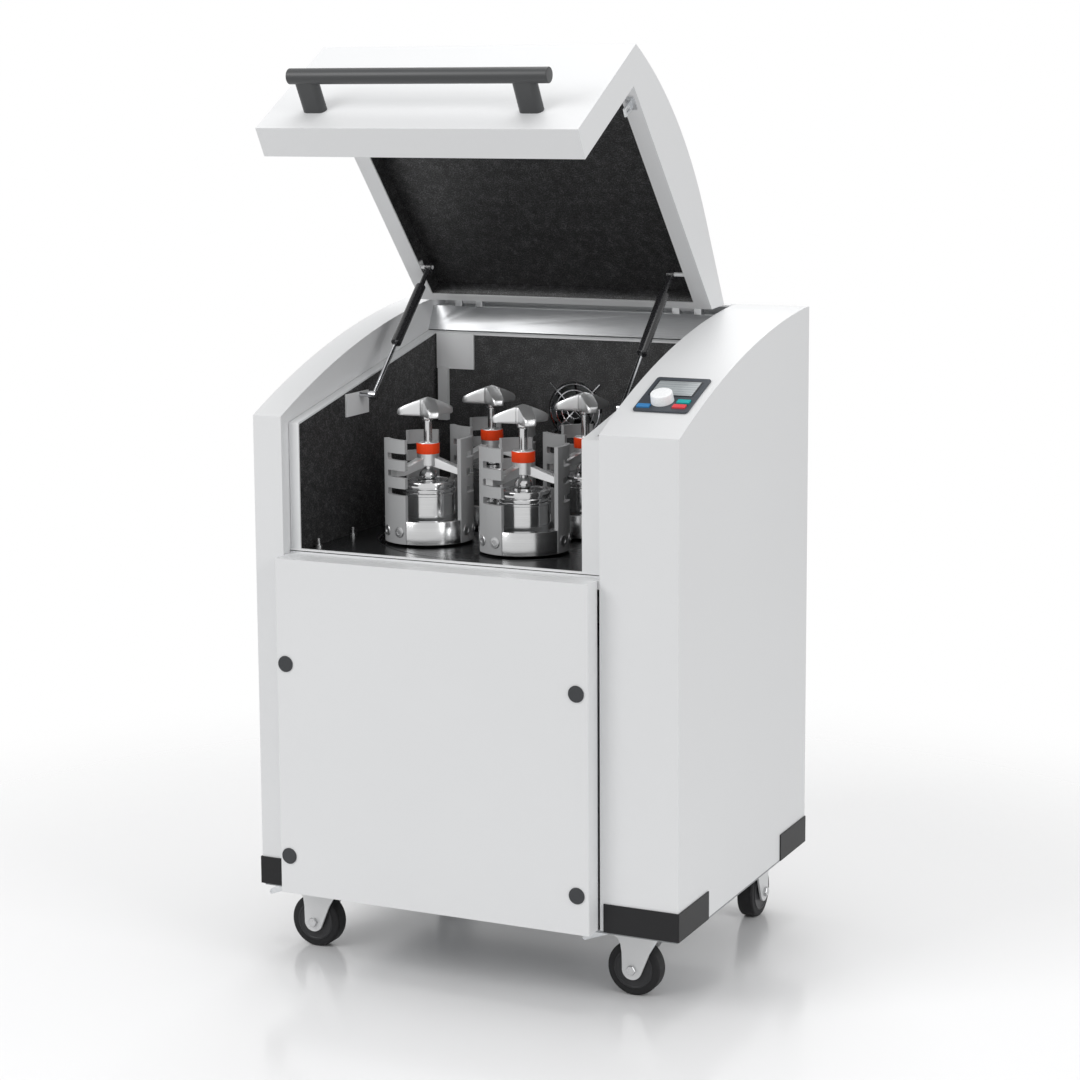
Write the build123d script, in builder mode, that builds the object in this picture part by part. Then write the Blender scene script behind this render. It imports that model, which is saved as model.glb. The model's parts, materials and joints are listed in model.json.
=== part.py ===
from build123d import *
from math import atan2, cos, degrees, radians, sin, sqrt
import os

# A floor-standing planetary ball mill with four grinding stations, on casters, its lid open.
# X runs to the right, Y to the back and Z up, in millimetres. The origin lies on the floor,
# at the middle of the box round the whole machine with its lid open.

# ---------------------------------------------------------------- driving dimensions

SHEET = 2.0                    # cabinet sheet steel
FIT = 0.05                     # radial clearance of a shaft in its bore
AIR = 0.3                      # gap between curved faces of two moving pieces

# Cabinet
CABINET_WIDTH = 836.0
CABINET_DEPTH = 660.0
CABINET_BOTTOM_Z = 150.0
CABINET_TOP_Z = 1200.0
SHOULDER_Z = 1030.0            # where the columns' straight fronts meet their curved tops
ROOF_RADIUS = 1905.0
ROOF_FLAT = 20.0               # level strip at the back of each column's top
LEFT_COLUMN_WIDTH = 59.0
RIGHT_COLUMN_WIDTH = 148.0
SEAM = 4.0                     # open joint between neighbouring covers
PANEL_DEPTH = 39.0             # how far the front panel and the lid stand in front
PANEL_TOP_Z = 776.0
GUARD_PROUD = 2.5
GUARD_HEIGHT = 50.0
GUARD_REACH = 141.0
CAP_RADIUS = 15.0
CAP_LOW_Z = 221.0
CAP_HIGH_Z = 582.0

# Casters
PAN_BOTTOM_Z = 144.0
WHEEL_RADIUS = 50.0
WHEEL_WIDTH = 32.0
WHEEL_FLAT = 0.5               # depth of the tyre's contact flat
CASTER_TRAIL = 38.0
CASTER_INSET_X = 90.0
CASTER_FRONT_Y = 118.0
CASTER_REAR_Y = CABINET_DEPTH - 81.0
CASTER_PLATE = 6.0
PEDAL_REACH = 138.0
PEDAL_WIDTH = 34.0

# Grinding chamber
CHAMBER_FRONT_Y = 26.0
CHAMBER_REAR_Y = CABINET_DEPTH - 77.0
CHAMBER_LEFT_X = 68.0
CHAMBER_RIGHT_X = CABINET_WIDTH - 180.0
CHAMBER_FLOOR_Z = 780.0
FLOOR_THICKNESS = 12.0
SILL_Z = 784.0
RIM_FRONT_Z = 1016.0
RIM_REAR_Z = 1134.0
TUB_WALL = 3.0
LINING = 9.0
LEFT_FLANGE = 20.0
RIGHT_FLANGE = 43.0
FAN_Z = 989.0
FAN_SIZE = 120.0
FAN_DEPTH = 25.0

# Drive
SUN_X = (CHAMBER_LEFT_X + CHAMBER_RIGHT_X) / 2 + 4.0       # from the cabinet's left side
SUN_Y = (CHAMBER_FRONT_Y + CHAMBER_REAR_Y) / 2 + 1.5       # from the columns' fronts
FAN_X = SUN_X + 21.0
ORBIT_RADIUS = 150.0
STATION_ANGLES = {"front_left": 217.0, "front_right": 307.0, "rear_right": 37.0, "rear_left": 127.0}
DISC_MARGIN = 38.5
DISC_RADIUS = min(CHAMBER_RIGHT_X - CHAMBER_LEFT_X, CHAMBER_REAR_Y - CHAMBER_FRONT_Y) / 2 - DISC_MARGIN
DISC_GAP = 3.0
DECK_TOP_Z = 652.0
DECK = 12.0
PLANET_SHAFT_RADIUS = 15.0
SUN_SHAFT_RADIUS = 20.0
DRUM_RADIUS = 50.0
PLANET_PULLEY_RADIUS = 25.0
PULLEY_HEIGHT = 12.0
PULLEY_STEP = 20.0
FIRST_PULLEY_Z = DECK_TOP_Z + DECK
DRUM_TOP_Z = FIRST_PULLEY_Z + 3 * PULLEY_STEP + PULLEY_HEIGHT + 4.0
BELT = 3.0
MOTOR_OFFSET = 190.0
MOTOR_RADIUS = 85.0
MOTOR_HEIGHT = 260.0
MOTOR_TOP_Z = 560.0
MOTOR_SHAFT_RADIUS = 14.0
MOTOR_PULLEY_RADIUS = 40.0
DRIVE_PULLEY_RADIUS = 80.0
DRIVE_PULLEY_Z = 596.0
DRIVE_PULLEY_HEIGHT = 36.0
PILLAR_OFFSET = 80.0
POST = 40.0

# Stations
HOLDER_RADIUS = 84.0
HOLDER_BOTTOM_Z = 784.0
HOLDER_RING_Z = 827.0
UPRIGHT_TOP_Z = 978.0
UPRIGHT_WALL = 9.0
UPRIGHT_ARC = 44.0             # degrees that each upright covers
SLOT_WEB = 12.0                # degrees left beside the slots
SLOT_HEIGHT = 13.0
SLOT_CORNER = 3.0
SLOT_FLOORS = [875.0, 908.0, 940.0]
RING_INSET = 1.5               # how far the ring stands back from the uprights' faces
RING_STEP = 12.0
JAR_RADIUS = 51.0
JAR_FLOOR_Z = 796.0
JAR_TOP_Z = 897.0
JAR_LID = 19.0
ARM_WIDTH = 20.0
ARM_HEIGHT = 11.0
HUB_RADIUS = 20.5
HUB_BOTTOM_Z = 922.0
HUB_TOP_Z = 966.0
SPINDLE_RADIUS = 8.0
FOOT_RADIUS = 17.0
FOOT_RIM = 6.0
FOOT_TOP_Z = 919.0
GRIP_BOTTOM_Z = 1014.0
GRIP_TOP_Z = 1050.0
GRIP_REACH = 56.0
GRIP_WIDTH = 20.0
GRIP_TIP = 9.0

# Lid, as it lies closed: depths from the columns' fronts and heights from the floor
LID_OPEN_ANGLE = 60.0
HINGE_Y = CABINET_DEPTH - 49.0
HINGE_Z = 1194.0
LID_BOTTOM_Z = 779.0
LID_CREST_Z = 1193.0
LID_BROW_Z = 1063.0
LID_REAR_Y = CABINET_DEPTH - 60.0
LID_CREST_Y = LID_REAR_Y - 200.0
LID_FOOT_Y = CABINET_DEPTH - 89.0
LID_LIP = 58.0
LID_SHEET = 3.0
LID_STRIP = 33.0               # width of the strip turned in along each side
LID_RECESS = 40.0
HINGE_SPREAD = 234.0
HINGE_WIDTH = 60.0
LUG_WIDTH = 28.0
PIN_RADIUS = 4.0
KNUCKLE_RADIUS = 8.0
BEAM_BOTTOM_Z = 1136.0
BEAM_TOP_Z = 1182.0
BAR_RADIUS = 14.0
BAR_STANDOFF = 68.0
BAR_Z = 840.0
BAR_INSET_LEFT = 60.0
BAR_INSET_RIGHT = 60.0
GRIP_POST_WIDTH = 45.0
GRIP_POST_HEIGHT = 22.0
POST_INSET = 32.0

# Gas springs
SPRING_INSET = 33.0            # axis from the left lining; the right one is measured the same way
SPRING_INSET_RIGHT = 21.0
SPRING_HIGH_Y = LID_FOOT_Y - 87.0                      # upper eye with the lid closed
SPRING_LOW_Y = SPRING_HIGH_Y - 234.0
SPRING_LOW_Z = 1043.0
SPRING_HIGH_Z = 1122.0
CYLINDER_RADIUS = 10.0
CYLINDER_LENGTH = 146.0
SPRING_NECK = 50.0
ROD_RADIUS = 4.0
ROD_INSERT = 40.0              # rod left inside the cylinder when the lid is open
CYLINDER_HEAD = 18.0           # solid end of the cylinder
EYE_RADIUS = 8.0
EYE_WIDTH = 14.0
STUD_RADIUS = 4.0

# Control panel on the right column's slope
BEZEL_WIDTH = 102.0
BEZEL_LENGTH = 127.0
BEZEL_MIDDLE_Y = 133.0
BEZEL_PROUD = 3.0
BEZEL_RIM = 3.0
BEZEL_DEPTH = 22.0
KNOB_RADIUS = 20.5
KNOB_HEIGHT = 17.0
KEY_WIDTH = 24.0
KEY_LENGTH = 12.0
KEY_PROUD = 2.5
KEY_TRAVEL = 1.5

# ---------------------------------------------------------------- places worked out from them

PEDAL_TIP_X = CASTER_INSET_X - PEDAL_REACH       # negative: beyond the cabinet's left side
LEFT_X = -(PEDAL_TIP_X + CABINET_WIDTH + GUARD_PROUD) / 2
RIGHT_X = LEFT_X + CABINET_WIDTH
opened_lip = Vector(0, -PANEL_DEPTH - HINGE_Y, LID_BOTTOM_Z - HINGE_Z).rotate(
    Axis.X, -LID_OPEN_ANGLE
)
FOREMOST_Y = HINGE_Y + opened_lip.Y
REARMOST_Y = CASTER_REAR_Y + CASTER_TRAIL + WHEEL_RADIUS + WHEEL_FLAT
FRONT_Y = -(FOREMOST_Y + REARMOST_Y) / 2
BACK_Y = FRONT_Y + CABINET_DEPTH

COLUMN_INNER_LEFT = LEFT_X + LEFT_COLUMN_WIDTH
COLUMN_INNER_RIGHT = RIGHT_X - RIGHT_COLUMN_WIDTH
COVER_LEFT = COLUMN_INNER_LEFT + SEAM
COVER_RIGHT = COLUMN_INNER_RIGHT - SEAM
LINER_LEFT = LEFT_X + CHAMBER_LEFT_X + TUB_WALL + LINING
LINER_RIGHT = LEFT_X + CHAMBER_RIGHT_X - TUB_WALL - LINING
LINER_REAR = FRONT_Y + CHAMBER_REAR_Y - TUB_WALL - LINING
TUB_LEFT = LEFT_X + CHAMBER_LEFT_X
TUB_RIGHT = LEFT_X + CHAMBER_RIGHT_X
TUB_FRONT = FRONT_Y + CHAMBER_FRONT_Y
TUB_REAR = FRONT_Y + CHAMBER_REAR_Y
SUN = (LEFT_X + SUN_X, FRONT_Y + SUN_Y)
MOTOR = (SUN[0] + MOTOR_OFFSET, SUN[1])
DISC_TOP_Z = CHAMBER_FLOOR_Z
DISC_BOTTOM_Z = CHAMBER_FLOOR_Z - FLOOR_THICKNESS
WELL_RADIUS = DISC_RADIUS + DISC_GAP
POST_LEFT = COVER_LEFT - 1.0
POST_RIGHT = COVER_RIGHT - SEAM + 1.0 - POST
POST_FRONT = FRONT_Y + 20.0
POST_REAR = BACK_Y - 60.0
DECK_BOTTOM_Z = DECK_TOP_Z - DECK
FRAME_FLOOR_Z = CABINET_BOTTOM_Z
RIM_SLOPE = (RIM_REAR_Z - RIM_FRONT_Z) / (CHAMBER_REAR_Y - CHAMBER_FRONT_Y)
HINGE_MIDDLE_X = (COVER_LEFT + COVER_RIGHT) / 2
HINGES_X = [HINGE_MIDDLE_X - HINGE_SPREAD, HINGE_MIDDLE_X + HINGE_SPREAD]
PARTS = "parts"

# The closed lid's frame, turned back about the hinge pins to where the lid stands open.
lid_turn = Location((0, FRONT_Y + HINGE_Y, HINGE_Z), (-LID_OPEN_ANGLE, 0, 0)) * Location(
    (0, -FRONT_Y - HINGE_Y, -HINGE_Z)
)
LID_SIDE = Plane(lid_turn * Plane.YZ.location)


def roof_z(depth):
    """Height of a column's curved top at a depth behind the column's front."""
    return ROOF_CENTRE[1] + sqrt(ROOF_RADIUS**2 - (depth - ROOF_CENTRE[0]) ** 2)


def roof_centre():
    """Centre of the roof's arc, which passes the shoulder and the level strip's front."""
    run = CABINET_DEPTH - ROOF_FLAT
    rise = CABINET_TOP_Z - SHOULDER_Z
    half = sqrt(run**2 + rise**2) / 2
    drop = sqrt(ROOF_RADIUS**2 - half**2)
    return (
        run / 2 + drop * rise / (2 * half),
        SHOULDER_Z + rise / 2 - drop * run / (2 * half),
    )


ROOF_CENTRE = roof_centre()


def rim_z(depth):
    """Height of the chamber's sloping rim at a depth behind the columns' fronts."""
    return RIM_FRONT_Z + RIM_SLOPE * (depth - CHAMBER_FRONT_Y)


def opened(x, depth, height):
    """Point of the closed lid, by depth behind the columns' fronts, carried to the open lid."""
    return (lid_turn * Location((x, FRONT_Y + depth, height))).position


def side_plane(x):
    """Upright plane across the machine at x, seen from the right."""
    return Plane.YZ.offset(x)


def lid_side(x):
    """The same plane, turned with the open lid."""
    return LID_SIDE.offset(x)


def block(low, high, mode=Mode.ADD):
    """Block between its lowest and highest corners."""
    with Locations(low):
        Box(
            high[0] - low[0],
            high[1] - low[1],
            high[2] - low[2],
            align=(Align.MIN, Align.MIN, Align.MIN),
            mode=mode,
        )


def rod(start, direction, radius, length, mode=Mode.ADD):
    """Round bar or bore that runs from a start point along a direction."""
    with BuildSketch(Plane(start, z_dir=direction)) as round_face:
        Circle(radius)
    extrude(round_face.sketch, amount=length, mode=mode)


def tube(start, direction, outer, inner, length):
    """Round tube that runs from a start point along a direction."""
    with BuildSketch(Plane(start, z_dir=direction)) as ring_face:
        Circle(outer)
        Circle(inner, mode=Mode.SUBTRACT)
    extrude(ring_face.sketch, amount=length)


def side_prism(points, x_low, x_high, plane_at=side_plane, mode=Mode.ADD):
    """Prism across the machine: a polygon of depths and heights, drawn out from x_low to x_high."""
    with BuildSketch(plane_at(x_low)) as outline:
        with BuildLine():
            Polyline([(FRONT_Y + depth, height) for depth, height in points], close=True)
        make_face()
    extrude(outline.sketch, amount=x_high - x_low, mode=mode)


def belt_loop(plane, far_x, near_radius, far_radius, height):
    """Belt round two pulleys, the second one at far_x along the plane's own X."""
    with BuildSketch(plane) as band:
        with BuildSketch(mode=Mode.PRIVATE) as outer:
            Circle(near_radius + AIR + BELT)
            with Locations((far_x, 0)):
                Circle(far_radius + AIR + BELT)
            make_hull()
        with BuildSketch(mode=Mode.PRIVATE) as inner:
            Circle(near_radius + AIR)
            with Locations((far_x, 0)):
                Circle(far_radius + AIR)
            make_hull()
        add(outer.sketch_local)
        add(inner.sketch_local, mode=Mode.SUBTRACT)
    extrude(band.sketch, amount=height)


def save(part, name):
    """Labels a finished piece and writes it as one STEP file."""
    part.label = name
    export_step(part, os.path.join(PARTS, name + ".step"))


os.makedirs(PARTS, exist_ok=True)

# ---------------------------------------------------------------- frame

# Welded pan, four posts and the deck that carries the drive.
with BuildPart() as inner_frame:
    block((LEFT_X + 3, FRONT_Y + 3, PAN_BOTTOM_Z), (RIGHT_X - 3, BACK_Y - 3, FRAME_FLOOR_Z))
    for post_x in (POST_LEFT, POST_RIGHT):
        for post_y in (POST_FRONT, POST_REAR):
            block((post_x, post_y, FRAME_FLOOR_Z), (post_x + POST, post_y + POST, DECK_BOTTOM_Z))
            block(
                (post_x + SEAM, post_y + SEAM, FRAME_FLOOR_Z),
                (post_x + POST - SEAM, post_y + POST - SEAM, DECK_BOTTOM_Z),
                mode=Mode.SUBTRACT,
            )
    block((POST_LEFT, POST_FRONT, DECK_BOTTOM_Z), (POST_RIGHT + POST, POST_REAR + POST, DECK_TOP_Z))
    rod((*SUN, DECK_BOTTOM_Z), (0, 0, 1), SUN_SHAFT_RADIUS + SEAM, DECK, mode=Mode.SUBTRACT)

CASTERS = {
    "front_left": ((LEFT_X + CASTER_INSET_X, FRONT_Y + CASTER_FRONT_Y), (-1, 0, 0)),
    "front_right": ((RIGHT_X - CASTER_INSET_X, FRONT_Y + CASTER_FRONT_Y), (-1, 0, 0)),
    "rear_left": ((LEFT_X + CASTER_INSET_X, FRONT_Y + CASTER_REAR_Y), (0, 1, 0)),
    "rear_right": ((RIGHT_X - CASTER_INSET_X, FRONT_Y + CASTER_REAR_Y), (0, 1, 0)),
}
STEM_RADIUS = 8.0
PLATE_HALF = 42.0
with inner_frame:
    for (swivel_x, swivel_y), trail in CASTERS.values():
        block(
            (swivel_x - PLATE_HALF, swivel_y - PLATE_HALF, PAN_BOTTOM_Z - CASTER_PLATE),
            (swivel_x + PLATE_HALF, swivel_y + PLATE_HALF, PAN_BOTTOM_Z),
        )
        rod(
            (swivel_x, swivel_y, PAN_BOTTOM_Z - CASTER_PLATE),
            (0, 0, 1),
            STEM_RADIUS + FIT,
            CASTER_PLATE + FRAME_FLOOR_Z - PAN_BOTTOM_Z,
            mode=Mode.SUBTRACT,
        )
save(inner_frame.part, "inner_frame")


# ---------------------------------------------------------------- columns and covers


def column(x_low, x_high):
    """Sheet-steel column with a straight front and a curved top, open underneath."""
    with BuildSketch(side_plane(x_low)) as profile:
        with BuildLine():
            roof_start = (FRONT_Y, SHOULDER_Z)
            roof_end = (BACK_Y - ROOF_FLAT, CABINET_TOP_Z)
            Polyline(
                roof_end,
                (BACK_Y, CABINET_TOP_Z),
                (BACK_Y, CABINET_BOTTOM_Z),
                (FRONT_Y, CABINET_BOTTOM_Z),
                roof_start,
            )
            RadiusArc(roof_start, roof_end, ROOF_RADIUS)
        make_face()
    with BuildSketch(side_plane(x_low + SHEET)) as hollow:
        with BuildLine():
            inner_start = (FRONT_Y + SHEET, SHOULDER_Z - SHEET)
            inner_end = (BACK_Y - ROOF_FLAT, CABINET_TOP_Z - SHEET)
            Polyline(
                inner_end,
                (BACK_Y - SHEET, CABINET_TOP_Z - SHEET),
                (BACK_Y - SHEET, CABINET_BOTTOM_Z),
                (FRONT_Y + SHEET, CABINET_BOTTOM_Z),
                inner_start,
            )
            RadiusArc(inner_start, inner_end, ROOF_RADIUS)
        make_face()
    extrude(profile.sketch, amount=x_high - x_low)
    extrude(hollow.sketch, amount=x_high - x_low - 2 * SHEET, mode=Mode.SUBTRACT)


with BuildPart() as left_column:
    column(LEFT_X, COLUMN_INNER_LEFT)
save(left_column.part, "left_column")

# The bezel's plane touches the roof's arc at the middle of the control panel.
panel_x = COLUMN_INNER_RIGHT + RIGHT_COLUMN_WIDTH / 2 + 7.0
panel_tilt = atan2(ROOF_CENTRE[0] - BEZEL_MIDDLE_Y, roof_z(BEZEL_MIDDLE_Y) - ROOF_CENTRE[1])
slope_normal = (0, -sin(panel_tilt), cos(panel_tilt))
BEZEL_PLANE = Plane(
    (panel_x, FRONT_Y + BEZEL_MIDDLE_Y, roof_z(BEZEL_MIDDLE_Y) + AIR / 2),
    x_dir=(1, 0, 0),
    z_dir=slope_normal,
)

with BuildPart() as right_column:
    column(COLUMN_INNER_RIGHT, RIGHT_X)
    with BuildSketch(BEZEL_PLANE.offset(BEZEL_PROUD)) as window:
        Rectangle(BEZEL_WIDTH - 2 * BEZEL_RIM, BEZEL_LENGTH - 2 * BEZEL_RIM)
    extrude(window.sketch, amount=-BEZEL_DEPTH - BEZEL_PROUD, mode=Mode.SUBTRACT)
save(right_column.part, "right_column")

# Black corner plates against knocks, on the columns' lower corners.
with BuildPart() as corner_guards:
    guard_top = CABINET_BOTTOM_Z + GUARD_HEIGHT
    guard_low = CABINET_BOTTOM_Z - SHEET
    for y_from, y_to in (
        (FRONT_Y - GUARD_PROUD, FRONT_Y + GUARD_REACH),
        (BACK_Y - GUARD_REACH - GUARD_PROUD, BACK_Y),
    ):
        block((RIGHT_X, y_from, guard_low), (RIGHT_X + GUARD_PROUD, y_to, guard_top))
        block((LEFT_X - GUARD_PROUD, y_from, guard_low), (LEFT_X, y_to, guard_top))
    block(
        (COLUMN_INNER_RIGHT + 7, FRONT_Y - GUARD_PROUD, guard_low),
        (RIGHT_X, FRONT_Y, guard_top),
    )
    block((LEFT_X, FRONT_Y - GUARD_PROUD, guard_low), (COLUMN_INNER_LEFT, FRONT_Y, guard_top))
save(corner_guards.part, "corner_guards")

# Front panel: a folded tray whose four bosses stand on the front posts.
CAPS = [
    (post_x + POST / 2, cap_z)
    for post_x in (POST_LEFT, POST_RIGHT)
    for cap_z in (CAP_LOW_Z, CAP_HIGH_Z)
]
BOSS_RADIUS = 12.0
CAP_HEAD = 2.0
SCREW_RADIUS = 6.0
with BuildPart() as front_panel:
    panel_front = FRONT_Y - PANEL_DEPTH
    block((COVER_LEFT, panel_front, CABINET_BOTTOM_Z), (COVER_RIGHT, FRONT_Y, PANEL_TOP_Z))
    fillet(front_panel.edges().filter_by(Axis.Z).group_by(Axis.Y)[0], 3.0)
    block(
        (COVER_LEFT + SHEET, panel_front + SHEET, CABINET_BOTTOM_Z + SHEET),
        (COVER_RIGHT - SHEET, FRONT_Y, PANEL_TOP_Z - SHEET),
        mode=Mode.SUBTRACT,
    )
    for cap_x, cap_z in CAPS:
        rod((cap_x, panel_front + SHEET, cap_z), (0, 1, 0), BOSS_RADIUS, POST_FRONT - panel_front - SHEET)
        rod(
            (cap_x, panel_front, cap_z),
            (0, 1, 0),
            SCREW_RADIUS + FIT,
            POST_FRONT - panel_front,
            mode=Mode.SUBTRACT,
        )
save(front_panel.part, "front_panel")

with BuildPart() as panel_caps:
    for cap_x, cap_z in CAPS:
        rod((cap_x, panel_front - CAP_HEAD, cap_z), (0, 1, 0), CAP_RADIUS, CAP_HEAD)
        rod((cap_x, panel_front, cap_z), (0, 1, 0), SCREW_RADIUS, POST_FRONT - panel_front)
save(panel_caps.part, "panel_caps")

# Rear cover between the columns, with vents, the mains inlet and the main switch's cut-out.
REAR_TOP_RETURN = 35.0
VENT_Z = [300.0 + 16.0 * row for row in range(8)]
SWITCH_INSET = 150.0
SWITCH_X = LEFT_X + SWITCH_INSET
SWITCH_Z = 240.0
SWITCH_HALF_X = 13.0
SWITCH_HALF_Z = 16.0
INLET_DEPTH = 24.0
with BuildPart() as rear_cover:
    cover_in = BACK_Y - TUB_WALL
    rear_left = COLUMN_INNER_LEFT + 1.0
    rear_right = COLUMN_INNER_RIGHT - 1.0
    block((rear_left, cover_in, CABINET_BOTTOM_Z), (rear_right, BACK_Y, CABINET_TOP_Z))
    block(
        (rear_left, BACK_Y - REAR_TOP_RETURN, CABINET_TOP_Z - TUB_WALL),
        (rear_right, BACK_Y, CABINET_TOP_Z),
    )
    with BuildSketch(Plane.XZ.offset(-BACK_Y)) as vents:
        for vent_z in VENT_Z:
            with Locations((SUN[0] - 140, vent_z), (SUN[0] + 140, vent_z)):
                SlotOverall(120, 6)
    extrude(vents.sketch, amount=TUB_WALL, mode=Mode.SUBTRACT)
    block(
        (SWITCH_X - SWITCH_HALF_X - SHEET, BACK_Y - INLET_DEPTH, SWITCH_Z - 80),
        (SWITCH_X + SWITCH_HALF_X + SHEET, cover_in, SWITCH_Z + SWITCH_HALF_Z + SHEET),
    )
    block(
        (SWITCH_X - SWITCH_HALF_X, BACK_Y - INLET_DEPTH + SHEET, SWITCH_Z - SWITCH_HALF_Z),
        (SWITCH_X + SWITCH_HALF_X, BACK_Y, SWITCH_Z + SWITCH_HALF_Z),
        mode=Mode.SUBTRACT,
    )
    block(
        (SWITCH_X - SWITCH_HALF_X, BACK_Y - INLET_DEPTH + SHEET, SWITCH_Z - 74),
        (SWITCH_X + SWITCH_HALF_X, BACK_Y, SWITCH_Z - 50),
        mode=Mode.SUBTRACT,
    )
    rod(
        (SWITCH_X - SWITCH_HALF_X - SHEET, BACK_Y - 6, SWITCH_Z),
        (1, 0, 0),
        SHEET + FIT,
        2 * (SWITCH_HALF_X + SHEET),
        mode=Mode.SUBTRACT,
    )
save(rear_cover.part, "rear_cover")

# Rocker of the main switch, on a cross pin.
with BuildPart() as main_switch:
    side_prism(
        [
            (CABINET_DEPTH - 14, SWITCH_Z - 9),
            (CABINET_DEPTH - 1, SWITCH_Z - 14),
            (CABINET_DEPTH - 2.5, SWITCH_Z),
            (CABINET_DEPTH + 1.5, SWITCH_Z + 13),
            (CABINET_DEPTH - 14, SWITCH_Z + 9),
        ],
        SWITCH_X - SWITCH_HALF_X + 1,
        SWITCH_X + SWITCH_HALF_X - 1,
    )
    rod(
        (SWITCH_X - SWITCH_HALF_X - SHEET, BACK_Y - 6, SWITCH_Z),
        (1, 0, 0),
        SHEET,
        2 * (SWITCH_HALF_X + SHEET),
    )
save(main_switch.part, "main_switch")

# ---------------------------------------------------------------- casters

FORK_GAP = 4.0
FORK_LEG = 4.0
AXLE_RADIUS = 6.0
HEAD_RADIUS = 30.0
PEDAL_PIN_RADIUS = 3.0
PEDAL_PIN_X = 6.0
PEDAL_PIN_Z = 116.0
fork_top = PAN_BOTTOM_Z - CASTER_PLATE
fork_head = fork_top - 12.0
leg_inner = WHEEL_WIDTH / 2 + FORK_GAP
for corner, (swivel, trail) in CASTERS.items():
    base = Plane((*swivel, 0), x_dir=trail, z_dir=(0, 0, 1))
    fork_side = Plane((*swivel, 0), x_dir=trail, z_dir=Vector(trail).cross(Vector(0, 0, 1)))
    axle_start = fork_side.offset(-leg_inner - FORK_LEG)

    with BuildPart(base) as fork:
        with Locations((0, 0, fork_head)):
            Cylinder(HEAD_RADIUS, fork_top - fork_head - AIR, align=(Align.CENTER, Align.CENTER, Align.MIN))
        with Locations((0, 0, fork_head)):
            Cylinder(
                STEM_RADIUS,
                FRAME_FLOOR_Z - fork_head,
                align=(Align.CENTER, Align.CENTER, Align.MIN),
            )
        for leg_start in (-leg_inner - FORK_LEG, leg_inner):
            with BuildSketch(fork_side.offset(leg_start)) as leg:
                with BuildSketch(mode=Mode.PRIVATE) as leg_outline:
                    with Locations((0, fork_head + 2)):
                        Rectangle(42, 4)
                    with Locations((CASTER_TRAIL, WHEEL_RADIUS)):
                        Circle(13)
                    make_hull()
                add(leg_outline.sketch_local)
            extrude(leg.sketch, amount=FORK_LEG)
        with BuildSketch(axle_start) as axle:
            with Locations((CASTER_TRAIL, WHEEL_RADIUS)):
                Circle(AXLE_RADIUS)
        extrude(axle.sketch, amount=2 * (leg_inner + FORK_LEG))
        if trail == (-1, 0, 0):
            with BuildSketch(axle_start) as pedal_pin:
                with Locations((PEDAL_PIN_X, PEDAL_PIN_Z)):
                    Circle(PEDAL_PIN_RADIUS)
            extrude(pedal_pin.sketch, amount=2 * (leg_inner + FORK_LEG))
    save(fork.part, "caster_fork_" + corner)

    with BuildPart(base) as wheel:
        with BuildSketch(fork_side.offset(-WHEEL_WIDTH / 2)) as tyre:
            with Locations((CASTER_TRAIL, WHEEL_RADIUS)):
                Circle(WHEEL_RADIUS + WHEEL_FLAT)
        extrude(tyre.sketch, amount=WHEEL_WIDTH)
        fillet(wheel.edges(), 5.0)
        with BuildSketch(fork_side.offset(-WHEEL_WIDTH / 2)) as bore:
            with Locations((CASTER_TRAIL, WHEEL_RADIUS)):
                Circle(AXLE_RADIUS + FIT)
        extrude(bore.sketch, amount=WHEEL_WIDTH, mode=Mode.SUBTRACT)
        with Locations((CASTER_TRAIL, 0, 0)):
            Box(
                WHEEL_RADIUS,
                WHEEL_WIDTH,
                2 * WHEEL_FLAT,
                align=(Align.CENTER, Align.CENTER, Align.MAX),
                mode=Mode.SUBTRACT,
            )
    save(wheel.part, "caster_wheel_" + corner)

    if trail == (-1, 0, 0):
        with BuildPart(base) as pedal:
            with BuildSketch(fork_side.offset(-PEDAL_WIDTH / 2)) as tread:
                with BuildLine():
                    Polyline(
                        (PEDAL_PIN_X - 6, PEDAL_PIN_Z - 6),
                        (PEDAL_PIN_X + 74, PEDAL_PIN_Z - 6),
                        (PEDAL_REACH - 4, 90),
                        (PEDAL_REACH, 94),
                        (PEDAL_REACH - 3, 100),
                        (PEDAL_PIN_X + 78, PEDAL_PIN_Z + 5),
                        (PEDAL_PIN_X - 6, PEDAL_PIN_Z + 6),
                        close=True,
                    )
                make_face()
                with Locations((PEDAL_PIN_X, PEDAL_PIN_Z)):
                    Circle(PEDAL_PIN_RADIUS + FIT, mode=Mode.SUBTRACT)
            extrude(tread.sketch, amount=PEDAL_WIDTH)
        save(pedal.part, "brake_pedal_" + corner)

# ---------------------------------------------------------------- grinding chamber

# Steel tub: a floor with the well of the sun wheel under it, three walls and turned-out rims.
wall_profile = [
    (CHAMBER_FRONT_Y, DISC_BOTTOM_Z),
    (CHAMBER_FRONT_Y, RIM_FRONT_Z - TUB_WALL),
    (CHAMBER_REAR_Y, RIM_REAR_Z - TUB_WALL),
    (CHAMBER_REAR_Y, DISC_BOTTOM_Z),
]
rim_profile = [
    (CHAMBER_FRONT_Y, SILL_Z),
    (CHAMBER_FRONT_Y, RIM_FRONT_Z),
    (CHAMBER_REAR_Y, RIM_REAR_Z),
    (CHAMBER_REAR_Y, RIM_REAR_Z - TUB_WALL),
    (CHAMBER_FRONT_Y + TUB_WALL, RIM_FRONT_Z - TUB_WALL),
    (CHAMBER_FRONT_Y + TUB_WALL, SILL_Z),
]
FLANGE_LEFT = LINER_LEFT - LEFT_FLANGE
FLANGE_RIGHT = LINER_RIGHT + RIGHT_FLANGE
LOCK_X = FLANGE_RIGHT - 19.0
LOCK_Y = FRONT_Y + 46.0
HOOK_THICKNESS = 4.0
HOOK_LENGTH = 16.0
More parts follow.
